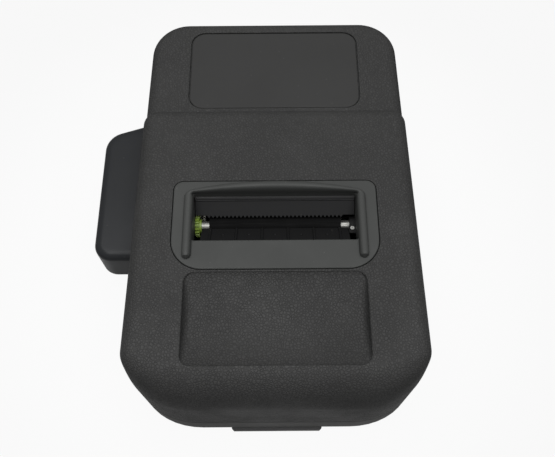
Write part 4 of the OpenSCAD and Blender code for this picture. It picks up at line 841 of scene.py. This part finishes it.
class PRINTER_OT_upper_case(bpy.types.Operator):
    """Skins the grained upper case and cuts its seats, its dish and its openings"""
    bl_idname = "printer.upper_case"
    bl_label = "Upper case"

    def posts(self, s, p):
        """Screw posts, stops and bosses inside, and the roof under the dish"""
        bite = 0.5
        roof, panel, stop = s.case_h - s.wall, s.rear_y - s.wall, p.catch_rear + CATCH_SPRING_L
        made = []
        for x, y in case_posts(s):
            top = (s.deck_z if y > s.step_y else s.case_h) - s.wall + bite
            made.append(rod("z", (x, y, s.seam), top - s.seam, POST_R))
        made += [rod("z", (x, y, FRAME_EAR_TOP), roof + bite - FRAME_EAR_TOP, FRAME_BOSS_R)
                 for x, y in FRAME_EARS]
        made += [rod("y", (x * SWITCH_BOSS_X, panel - SWITCH_BOSS_L, SWITCH_BOSS_Z), SWITCH_BOSS_L + bite,
                     SWITCH_BOSS_R) for x in (-1, 1)]
        made.append(block((p.catch_x - PAST, stop, p.catch_z),
                          (p.catch_x + CATCH_STOP_W, stop + CATCH_STOP, p.catch_z + CATCH_H)))
        return made + [dish_roof(s, roof)]

    def holes(self, s, e, p):
        """Screw holes, openings of the rear end, and the mouths of the pack, its catch and the paper exit"""
        inside, outside, low = s.rear_y - s.wall - PAST, s.rear_y + PAST, s.seam - PAST
        through, key_z = s.wall + 2 * PAST, s.deck_z - KEY_DROP
        beside, before, short = 3.0, 3.5, 1.8
        made = [rod("z", (x, y, low), POST_HOLE_L, POST_HOLE_R) for x, y in case_posts(s)]
        made += [rod("z", (x, y, FRAME_EAR_TOP - PAST), FRAME_HOLE_L, SMALL_HOLE_R) for x, y in FRAME_EARS]
        for x in (-1, 1):
            made += [rod("y", (x * SWITCH_BOSS_X, inside - SWITCH_BOSS_L, SWITCH_BOSS_Z), SWITCH_HOLE_L,
                         SMALL_HOLE_R),
                     rod("y", (x * KEY_X, inside, key_z), through, KEY_HOLE_R),
                     rod("y", (x * LIGHT_X, inside, key_z + LIGHT_RISE), through, LIGHT_HOLE_R)]
        return made + [
            rod("y", (JACK_X, inside, JACK_Z), through, JACK_HOLE_R),
            block((PORT_LEFT, inside, low), (PORT_RIGHT, outside, PORT_TOP)),
            block((-LENS_HALF_W, inside, key_z - LENS_HALF_H), (LENS_HALF_W, outside, key_z + LENS_HALF_H)),
            block((-s.front_w / 2 - PAST, p.tongue_front - CLEAR, low),
                  (-half_at(s, 0) + MOUTH_L, p.tongue_rear + CLEAR, p.tongue_top + CLEAR)),
            block((-s.front_w / 2, p.thumb_front - CLEAR, p.catch_z - CLEAR),
                  (p.catch_x, p.catch_rear + CATCH_TRAVEL + CLEAR, p.catch_z + CATCH_H + CLEAR)),
            block((-e.window_w / 2 - beside, e.window_front - before, s.case_h - s.wall - PAST),
                  (e.window_w / 2 + beside, e.bezel_rear - short, s.case_h + PAST))]

    def execute(self, context):
        s, e = case_sizes(), exit_sizes()
        p = pack_sizes(s)
        fine = dict(corner=(30, 14), straight=(30, 50, 30))
        plain = dict(corner=(12, 8), straight=(1, 1, 1))
        seat = lip_cutter(lambda d: bezel_rings(e, CLEAR + d), e.under, s.case_h, 0.2)
        label = lip_cutter(lambda d: tile_rings(s.label_w, s.label_l, s.label_r, s.label_mid, LABEL_ROOM + d),
                           s.label_z, s.deck_z, 0.3)
        # The flat top gets a ring close to its rounded edge, so that it shades flat
        outer = raised_rings(s, 0, s.seam, 40, **fine)
        mid = outer[-1].mean(0)
        outer = np.concatenate([outer, mid + (outer[-1:] - mid) * 0.985])
        mesh = carved("upper_case", loft("raised", outer), [
            ("UNION", loft("deck", deck_rings(s, 0, s.seam, 20, **fine))),
            ("DIFFERENCE", loft("raised_in", raised_rings(s, s.wall, s.seam - 1, 12, **plain))),
            ("DIFFERENCE", loft("deck_in", deck_rings(s, s.wall, s.seam - 1, 8, **plain))),
            ("UNION", many("posts", self.posts(s, p))),
            ("DIFFERENCE", many("holes", self.holes(s, e, p))),
            ("DIFFERENCE", loft("seat", seat)),
            ("DIFFERENCE", loft("label_seat", label)),
            ("DIFFERENCE", loft("dish", dish_cutter(s)))])
        finished(tidied(mesh), "upper_case_skin", "case", "upper_shell", "grained_case")
        return {"FINISHED"}


class PRINTER_OT_label(bpy.types.Operator):
    """Lofts the bare label plate with a softened edge"""
    bl_idname = "printer.label"
    bl_label = "Label plate"

    def execute(self, context):
        s = case_sizes()
        thick, r, longer = 0.8, 0.35, 0.3
        a = np.radians(np.linspace(0, 90, 6))
        z = np.concatenate([[s.label_z], s.label_z + thick - r + r * np.sin(a)])
        d = np.concatenate([[0.0], -r * (1 - np.cos(a))])
        # The front end is longer, so that its groove nearly closes; the last ring keeps the middle flat
        plate = (s.label_w, s.label_l + longer, s.label_r, s.label_mid - longer / 2)
        rings = np.concatenate([tile_rings(*plate, v) for v in (*d, -1.2)])
        mesh = loft("label", rings_at(rings, np.append(z, z[-1])))
        finished(mesh, "label_face", "case", "label_plate", "label_plastic")
        return {"FINISHED"}


def drawn_along(x, rows):
    """Rings at each x, through rows that are one (y, z) point each, or one (y, z) point for each x"""
    ring = np.stack([np.broadcast_to(row, (len(x), 2)) for row in rows], 1)
    return np.concatenate([np.broadcast_to(x[:, None, None], ring.shape[:2] + (1,)), ring], -1)


def swept(path, widths, heights, foot, lean, sides=18, power=2.6):
    """Rings of a ridge along a path in plan: at each point its section is a superellipse of the given
    half width and height over its foot, whose top leans towards the front"""
    path = np.asarray(path, float)
    ahead = np.gradient(path, axis=0)
    ahead /= np.linalg.norm(ahead, axis=1)[:, None]
    across = np.column_stack([ahead[:, 1], -ahead[:, 0]])
    a = np.linspace(0, np.pi, sides + 1)
    u = np.sign(np.cos(a)) * np.abs(np.cos(a)) ** (2 / power)
    v = np.abs(np.sin(a)) ** (2 / power)
    u = np.concatenate([[1.0], u, [-1.0]])
    v = np.concatenate([[-0.5], v, [-0.5]])
    flat = path[:, None, :] + across[:, None, :] * (u[None, :, None] * widths[:, None, None])
    flat[..., 1] -= lean[:, None] * np.maximum(v, 0)
    z = foot + np.where(v > 0, v * heights[:, None], v)
    return rings_at(flat, z)


class PRINTER_OT_exit(bpy.types.Operator):
    """Makes the exit bezel with its guard, the tear-off panel and the ribbed guide"""
    bl_idname = "printer.exit"
    bl_label = "Paper exit"

    def flange(self, e):
        """The flange is a ring whose profile runs up its outer edge, across and down into the window"""
        a = np.radians(np.linspace(0, 90, 6))
        r, outer_flat, inner_flat = 0.4, 1.2, 1.0
        rise = [(r * (1 - np.cos(t)), e.top - r + r * np.sin(t)) for t in a]
        profile = [(bezel_rings, 0.0, e.under)] + [(bezel_rings, -d, z) for d, z in rise]
        profile += [(bezel_rings, -outer_flat, e.top), (window_rings, inner_flat, e.top)]
        profile += [(window_rings, d, z) for d, z in rise[::-1]] + [(window_rings, 0.0, e.under)]
        rings = np.concatenate([rings_at(shape(e, grow), [z]) for shape, grow, z in profile])
        m, n = rings.shape[:2]
        i = np.arange(n)
        k = (i + 1) % n
        closing = np.stack([(m - 1) * n + i, (m - 1) * n + k, k, i], -1)
        return mesh_of("flange", rings, np.concatenate([grid_quads(m, n), closing]))

    def guard(self, e):
        """Its path runs up the left bar, round its corner and over the arch, whose front face stands on
        the window's rear edge and whose half width and height grow as 1 - (x / end)^2"""
        half_t = e.guard_t / 2
        bar_x, turn, tail, arch_lean = e.window_w / 2 + half_t, 2.2, 7.3, 0.8
        arch_thin, arch_swell, least = 1.4, 2.8, 0.02

        def bow(x):
            return 1 - (x / bar_x) ** 2

        def arch(x):
            return (arch_thin + arch_swell * bow(x)) / 2

        front, inner_end = e.window_front - tail, -bar_x + turn
        mid_y = e.window_rear + arch(inner_end)
        left = np.column_stack([np.full(40, -bar_x), np.linspace(front, mid_y - turn, 40)])
        bend = arc(inner_end, mid_y - turn, turn, turn, 180, 90, 10)
        x = np.linspace(inner_end, 0, 40)
        over = np.column_stack([x, e.window_rear + arch(x)])
        path = np.concatenate([left, bend[1:], over[1:]])
        path = np.concatenate([path, path[-2::-1] * [-1, 1]])
        # The bars' front ends are rounded in plan and in height
        ease = np.clip((path[:, 1] - front) / half_t + least, 0, 1)
        ease = np.sqrt(np.clip(1 - (1 - ease) ** 2, least ** 2, 1))
        over_arch = np.clip((path[:, 1] - mid_y + turn) / turn, 0, 1)
        lift = e.guard_top - e.top - e.guard_h
        tall = (e.guard_h + lift * np.clip(bow(path[:, 0]), 0, 1)) * np.clip(ease * 1.15, 0.1, 1.0)
        wide = (half_t * (1 - over_arch) + arch(path[:, 0]) * over_arch) * ease
        rings = swept(path, wide, tall, e.top, arch_lean * over_arch)
        m, n = rings.shape[:2]
        return mesh_of("guard", rings, grid_quads(m, n)[:, ::-1],
                       [range(n), range(m * n - 1, (m - 1) * n - 1, -1)])

    def bezel(self, e):
        """The flange with the skirts at the ends of its window and with its guard"""
        half_t, ahead, drop, bite = 0.45, 0.9, 5.0, 0.5
        middle = e.window_w / 2 + half_t
        skirts = [block((x * middle - half_t, e.window_front - ahead, e.under - drop),
                        (x * middle + half_t, e.window_rear, e.under + bite)) for x in (-1, 1)]
        return carved("bezel", self.flange(e), [("UNION", many("skirts", skirts)), ("UNION", self.guard(e))])

    def tear(self, e):
        """A sloped panel along X whose lower edge is a triangle wave, ground thin at the teeth, with a
        bead along its top"""
        thick, lip, root_at, comb_beyond = 1.0, 2.6, 2.2, 4.4
        bead_from, bead_l, bead_h, gap = 1.7, 0.7, 0.35, 0.2
        top = np.array([e.window_rear - gap, e.under])
        tip = e.roller + [1.0, 5.1]
        along = (top - tip) / np.linalg.norm(top - tip)
        back = np.array([along[1], -along[0]]) * thick
        count = 2 * int((ROLLER_L + comb_beyond) / e.tooth_pitch / 2)
        comb = count / 2 * e.tooth_pitch
        half = e.window_w / 2 - 0.3
        x = np.concatenate([[-half], np.linspace(-comb, comb, 4 * count + 1), [half]])
        phase = np.mod((x + comb) / e.tooth_pitch, 1.0)
        wave = np.where(np.abs(x) < comb + 1e-6, np.abs(phase - 0.5) * 2, 1.0)[:, None]
        edge = tip + along * wave
        root = tip + along * root_at
        under = e.under - thick
        reach = (under - (tip + along + back)[1]) / along[1]
        bead = [top - along * (bead_from - bead_l * t) - back / thick * bead_h * math.sin(math.pi * t)
                for t in np.linspace(0, 1, 7)]
        rows = [edge, edge + along * 0.25, root, *bead, top - along * 0.35, top + [0.25, 0.0],
                top + [lip, 0.0], top + [lip, -thick], tip + along + back + along * reach, root + back,
                edge + along * 0.1 + back * (1 - 0.55 * (1 - wave))]
        return loft("tear", drawn_along(x, rows))

    def guide(self, e):
        """A wall along X, rounded over at its lip, with ribs where a bump function of x is high and a
        small round nub between each two ribs"""
        thick, lip_r, lip, rib_h, notch_h, end_room = 1.4, 0.7, 3.0, 0.55, 0.25, 2.6
        turn, off_roller = math.radians(127), 4.7
        low = e.roller + off_roller * np.array([math.cos(turn), math.sin(turn)])
        high = np.array([e.window_front, e.under])
        reach = np.linalg.norm(high - low)
        along = (high - low) / reach
        inward = np.array([along[1], -along[0]])
        half = e.window_w / 2 - end_room
        ribs = (np.arange(6) - 2.5) * e.rib_pitch
        steps = np.array([-0.62, -0.42, -0.26, 0.26, 0.42, 0.62])
        x = np.unique(np.concatenate([[-half, half], np.linspace(-half + 1, half - 1, 55),
                                      (ribs[:, None] + steps).ravel()]))
        rib = np.clip((0.5 - np.abs(x[:, None] - ribs).min(1)) / 0.2, 0, 1)[:, None]
        rows = [low] + [low + along * t + inward * rib_h * rib
                        for t in (0.4, 1.2, reach * 0.5, reach - 1.6, reach - 0.9)]
        for a in np.radians(np.linspace(0, 90, 6)):
            bend = high - along * lip_r * (1 - np.sin(a)) - [lip_r * (1 - np.cos(a)), 0.0]
            rows.append(bend - np.array([0.0, notch_h]) * rib)
        foot = low - inward * thick + along * thick
        reach_out = (e.under - thick - foot[1]) / along[1]
        rows += [np.array([e.window_front - lip, e.under]), np.array([e.window_front - lip, e.under - thick]),
                 foot + along * reach_out, foot]
        base = low + along * reach * 0.5
        a = np.linspace(0, 2 * np.pi, 17)[:-1]
        nubs = []
        for u in (np.arange(1, 6) - 3) * e.rib_pitch:
            rings = []
            for r, h in ((0.5, -0.6), (0.5, 0.25), (0.42, 0.4), (0.25, 0.5), (0.05, 0.52)):
                circle = base + inward * h + along * (r * np.sin(a))[:, None]
                rings.append(np.column_stack([u + r * np.cos(a), circle]))
            nubs.append(np.array(rings)[:, ::-1])
        return carved("guide", loft("guide", drawn_along(x, rows)), [("UNION", many("nubs", nubs))])

    def execute(self, context):
        e = exit_sizes()
        finished(tidied(self.bezel(e)), "bezel_and_guard", "case", "exit_bezel", "bezel_plastic")
        finished(outward(self.tear(e)), "tear_panel", "case", "tear_bar", "panel_plastic", sharp=25)
        finished(outward(self.guide(e)), "guide_wall", "case", "paper_guide", "inner_plastic", sharp=40)
        return {"FINISHED"}


# Battery pack

def pack_sizes(s):
    """The pack's sizes, with the values that follow from them"""
    p = sizes(bpy.context.scene.printer_pack)
    p.slope = bpy.context.scene.printer_pack.ear_slope
    p.ear_rear = p.ear_front + p.ear_l
    p.ear_out = -s.front_w / 2 - p.ear_w
    p.tongue_front, p.tongue_rear = p.ear_front + TONGUE_INSET, p.ear_rear - TONGUE_INSET
    p.tongue_low = s.seam + TONGUE_RISE
    p.tongue_top = p.tongue_low + TONGUE_H
    p.tongue_end = p.ear_out + PACK_SHELL + 2 * (CELL_D + CELL_GAP)
    p.catch_z = p.tongue_top - CATCH_DROP
    p.catch_rear = p.tongue_rear + CATCH_L
    p.catch_x = -half_at(s, p.catch_rear + CATCH_SPRING_L + CATCH_STOP) + s.wall + 0.2
    p.thumb_front = rear_end(s, p, 0.0) + THUMB_ROOM
    return p


def rear_end(s, p, draw):
    """Where the sloped rear end of the pack, drawn in by an amount, meets the case"""
    r = p.ear_r - draw
    across = -half_at(s, p.ear_rear) - PACK_GAP - p.ear_out - p.ear_r + r * math.sin(p.slope)
    return p.ear_rear - p.ear_r + r * math.cos(p.slope) + math.tan(p.slope) * across


def ear_rings(s, p, draw):
    """Outline of the pack from above: a sloped rear end, two round outer corners, and an inner side
    along the case"""
    draw = np.reshape(np.asarray(draw, float), (-1, 1))
    inner_rear, inner_front = (-half_at(s, y) - PACK_GAP for y in (p.ear_rear, p.ear_front))
    r, front_r = p.ear_r - draw, p.ear_front_r - draw
    rear = arc(p.ear_out + p.ear_r, p.ear_rear - p.ear_r, r, r, 90 + math.degrees(p.slope), 180, 20)
    front = arc(p.ear_out + p.ear_front_r, p.ear_front + p.ear_front_r, front_r, front_r, 180, 270, 20)
    t = (np.arange(1, 20) / 20)[None, :, None]
    side = rear[:, -1:] * (1 - t) + front[:, :1] * t
    one = np.ones_like(draw)
    start = np.stack([inner_rear * one, rear_end(s, p, draw)], -1)
    end = np.stack([inner_front * one, p.ear_front + draw], -1)
    u = (np.arange(0, 6) / 6)[None, :, None]
    return np.concatenate([start * (1 - u) + rear[:, :1] * u, rear, side, front,
                           front[:, -1:] * u[:, ::-1] + end * (1 - u[:, ::-1])], 1)


class PRINTER_OT_pack(bpy.types.Operator):
    """Lofts the smooth battery pack with its tongue, its hollow and the notch of its catch"""
    bl_idname = "printer.pack"
    bl_label = "Battery pack"

    def execute(self, context):
        s = case_sizes()
        p = pack_sizes(s)
        r, low_r = p.ear_edge, p.ear_edge / 2
        a = np.linspace(0, np.pi / 2, 12)
        z = np.concatenate([p.ear_low + low_r - low_r * np.cos(a[:-1]), p.ear_high - r + r * np.sin(a)])
        z = np.unique(np.round(z, 6))
        draw = np.maximum(drawn_in(r, r, z - p.ear_high + r), drawn_in(low_r, low_r, p.ear_low + low_r - z))
        rings = rings_at(ear_rings(s, p, draw), z)
        # A last ring inside the flat top keeps it flat
        mid = rings[-1].mean(0)
        rings = np.concatenate([rings, mid + (rings[-1:] - mid) * 0.95])
        outer_wall, front_wall, rear_wall, flat_wall = 1.4, 1.2, 2.0, 1.0
        root, notch_l, notch_w, room = 3.0, 1.4, 4.0, 0.4
        tongue = block((-s.front_w / 2 - root, p.tongue_front, p.tongue_low),
                       (p.tongue_end, p.tongue_rear, p.tongue_top))
        hollow = block((p.ear_out + outer_wall, p.tongue_front + front_wall, p.tongue_low + flat_wall),
                       (p.tongue_end + PAST, p.tongue_rear - rear_wall, p.tongue_top - flat_wall))
        notch = block((p.catch_x - PAST, p.tongue_rear - notch_l, p.catch_z - room),
                      (p.catch_x + notch_w, p.tongue_rear + PAST, p.catch_z + CATCH_H + room))
        mesh = carved("pack", loft("ear", rings), [
            ("UNION", loft("tongue", tongue)), ("DIFFERENCE", loft("hollow", hollow)),
            ("DIFFERENCE", loft("notch", notch))])
        finished(tidied(mesh), "pack_body", "battery", "battery_case", "pack_plastic")
        return {"FINISHED"}


# Softened copies of plain solids

def softened(node, body, bevel=0.0):
    """A copy of a solid with its flats merged into whole faces, its edges softened and its rounds smooth"""
    mesh = frame["nodes"][node].data.copy()
    work = bmesh.new()
    work.from_mesh(mesh)
    bmesh.ops.remove_doubles(work, verts=work.verts, dist=2e-6)
    bmesh.ops.dissolve_limit(work, angle_limit=math.radians(0.4), verts=work.verts, edges=work.edges,
                             use_dissolve_boundaries=False)
    work.to_mesh(mesh)
    work.free()
    slot = next(p["material_slot"] for p in frame["record"]["subparts"] if p["node"] == node)
    return finished(mesh, node + "_soft", body, node, slot, sharp=30.0, bevel=bevel)


class PRINTER_OT_small_parts(bpy.types.Operator):
    """Softens the edges of the base, the door, the latches, the sockets and the keys"""
    bl_idname = "printer.small_parts"
    bl_label = "Base and small parts"

    def execute(self, context):
        for node, body, bevel in (
                ("lower_shell", "case", 0.0), ("paper_door", "door", 0.2), ("door_latch", "latch", 0.35),
                ("battery_latch", "battery_catch", 0.3), ("battery_cover", "battery", 0.15),
                ("data_port", "case", 0.15), ("power_jack", "case", 0.15), ("infrared_window", "case", 0.2),
                ("power_button", "power_key", 0.3), ("feed_button", "feed_key", 0.3), ("feet", "case", 0.3),
                ("mechanism_frame", "case", 0.0), ("roll_bay", "case", 0.0)):
            softened(node, body, bevel)
        return {"FINISHED"}


class PRINTER_OT_springs(bpy.types.Operator):
    """Softens the coil springs and gives each a mesh of its own"""
    bl_idname = "printer.springs"
    bl_label = "Springs"

    def execute(self, context):
        for node, body, joint, travel in (
                ("head_springs", "case", "head_pivot", 0.65),
                ("latch_spring", "door", "door_latch_slide", 1.8),
                ("battery_latch_spring", "case", "battery_catch_slide", CATCH_TRAVEL)):
            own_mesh(softened(node, body))
        return {"FINISHED"}


# Stage and camera

class PRINTER_OT_stage(bpy.types.Operator):
    """Sets the pale floor, the soft light and the camera"""
    bl_idname = "printer.stage"
    bl_label = "Stage"

    def execute(self, context):
        scene = context.scene
        scene.view_settings.view_transform = "Standard"
        mesh = bpy.data.meshes.new("floor")
        reach = 3.0
        mesh.from_pydata([(-reach, -reach, 0), (reach, -reach, 0), (reach, reach, 0), (-reach, reach, 0)], [],
                         [(0, 1, 2, 3)])
        floor = bpy.data.objects.new("floor", mesh)
        scene.collection.objects.link(floor)
        mesh.materials.append(self.paper())
        self.world(scene)
        self.lamp(scene)
        camera = bpy.data.cameras.new("camera")
        camera.sensor_width, camera.lens, camera.clip_start = 36.0, LENS, 0.01
        viewer = bpy.data.objects.new("camera", camera)
        viewer.location = CAMERA_PLACE
        tilt = Matrix.Rotation(math.radians(CAMERA_TILT), 3, "X")
        viewer.rotation_euler = (tilt @ Matrix.Rotation(math.radians(CAMERA_ROLL), 3, "Z")).to_euler()
        scene.collection.objects.link(viewer)
        scene.camera = viewer
        return {"FINISHED"}

    def paper(self):
        """Nearly white for the camera, whose other part keeps the object's shadow, and clear from below.
        Reflections see the white, and the sides get a little light, only from the floor near the object"""
        near_grey, far_grey, near_reach, far_reach = (0.45, 0.45, 0.45), (0.08, 0.08, 0.08), 0.08, 0.17
        material, tree, shader, where = surface("paper", 0.9, specular=0.1)
        away = add(tree, "ShaderNodeVectorMath", {0: where}, operation="LENGTH").outputs["Value"]
        near = ramp(tree, away, far_reach, near_reach)
        tree.links.new(mixed(tree, near, far_grey, near_grey), shader.inputs["Base Color"])
        share = self.shown(tree, 0.93, math_node(tree, "MULTIPLY", near, MIRRORED))
        glow = add(tree, "ShaderNodeEmission", {"Color": (1, 1, 1, 1), "Strength": 1.0})
        mix = add(tree, "ShaderNodeMixShader", {0: share, 1: shader.outputs[0], 2: glow.outputs[0]})
        behind = tree.nodes.new("ShaderNodeNewGeometry").outputs["Backfacing"]
        clear = add(tree, "ShaderNodeBsdfTransparent")
        sided = add(tree, "ShaderNodeMixShader", {0: behind, 1: mix.outputs[0], 2: clear.outputs[0]})
        tree.links.new(sided.outputs[0], tree.nodes["Material Output"].inputs["Surface"])
        return material

    def shown(self, tree, camera, mirrored):
        """How white the camera sees the background, and how white reflections and glass see it"""
        rays = tree.nodes.new("ShaderNodeLightPath").outputs
        seen = math_node(tree, "ADD", rays["Is Glossy Ray"], rays["Is Transmission Ray"], clamp=True)
        return math_node(tree, "ADD", math_node(tree, "MULTIPLY", rays["Is Camera Ray"], camera),
                         math_node(tree, "MULTIPLY", seen, mirrored), clamp=True)

    def world(self, scene):
        """An even pale room, which the camera sees white"""
        world = bpy.data.worlds.new("room")
        scene.world = world
        world.use_nodes = True
        tree = world.node_tree
        back = tree.nodes["Background"]
        back.inputs["Color"].default_value = (1, 1, 1, 1)
        white = math_node(tree, "MULTIPLY", self.shown(tree, 1.0, MIRRORED), 1 - ROOM_LIGHT)
        tree.links.new(math_node(tree, "ADD", white, ROOM_LIGHT), back.inputs["Strength"])

    def lamp(self, scene):
        """One square soft lamp overhead"""
        light = bpy.data.lights.new("overhead", "AREA")
        light.shape, light.size, light.energy = "SQUARE", LAMP_SIZE, LAMP_POWER
        obj = bpy.data.objects.new("overhead", light)
        obj.location = LAMP_PLACE
        scene.collection.objects.link(obj)


class PRINTER_PT_panel(bpy.types.Panel):
    """Lists the printer's sizes and colours and the steps that make its pieces"""
    bl_label = "Belt Printer"
    bl_idname = "PRINTER_PT_panel"
    bl_space_type = "VIEW_3D"
    bl_region_type = "UI"
    bl_category = "Belt Printer"

    def draw(self, context):
        for label, name in (("Case", "printer_case"), ("Paper exit", "printer_exit"),
                            ("Battery pack", "printer_pack"), ("Colours", "printer_colours")):
            box = self.layout.box()
            box.label(text=label)
            group = getattr(context.scene, name)
            for key in group.bl_rna.properties.keys():
                if key not in ("rna_type", "name"):
                    box.prop(group, key)
        for operator in OPERATORS:
            self.layout.operator(operator.bl_idname)


PROPERTY_GROUPS = {"printer_case": CaseSizes, "printer_exit": ExitSizes, "printer_pack": PackSizes,
                   "printer_colours": FinishColours}
OPERATORS = (PRINTER_OT_finishes, PRINTER_OT_upper_case, PRINTER_OT_label, PRINTER_OT_exit,
             PRINTER_OT_pack, PRINTER_OT_small_parts, PRINTER_OT_springs, PRINTER_OT_stage)


def register():
    """Registers the classes and puts the sizes and colours on the scene"""
    for cls in (*PROPERTY_GROUPS.values(), *OPERATORS, PRINTER_PT_panel):
        bpy.utils.register_class(cls)
    for name, cls in PROPERTY_GROUPS.items():
        setattr(bpy.types.Scene, name, PointerProperty(type=cls))


def unregister():
    """Takes the sizes and colours off the scene and the classes out"""
    for name in PROPERTY_GROUPS:
        delattr(bpy.types.Scene, name)
    for cls in (PRINTER_PT_panel, *reversed(OPERATORS), *reversed(list(PROPERTY_GROUPS.values()))):
        bpy.utils.unregister_class(cls)


def main():
    """Builds every piece in order"""
    register()
    bpy.ops.printer.finishes()
    bpy.ops.printer.upper_case()
    bpy.ops.printer.label()
    bpy.ops.printer.exit()
    bpy.ops.printer.pack()
    bpy.ops.printer.small_parts()
    bpy.ops.printer.springs()
    bpy.ops.printer.stage()


if __name__ == "__main__":
    main()
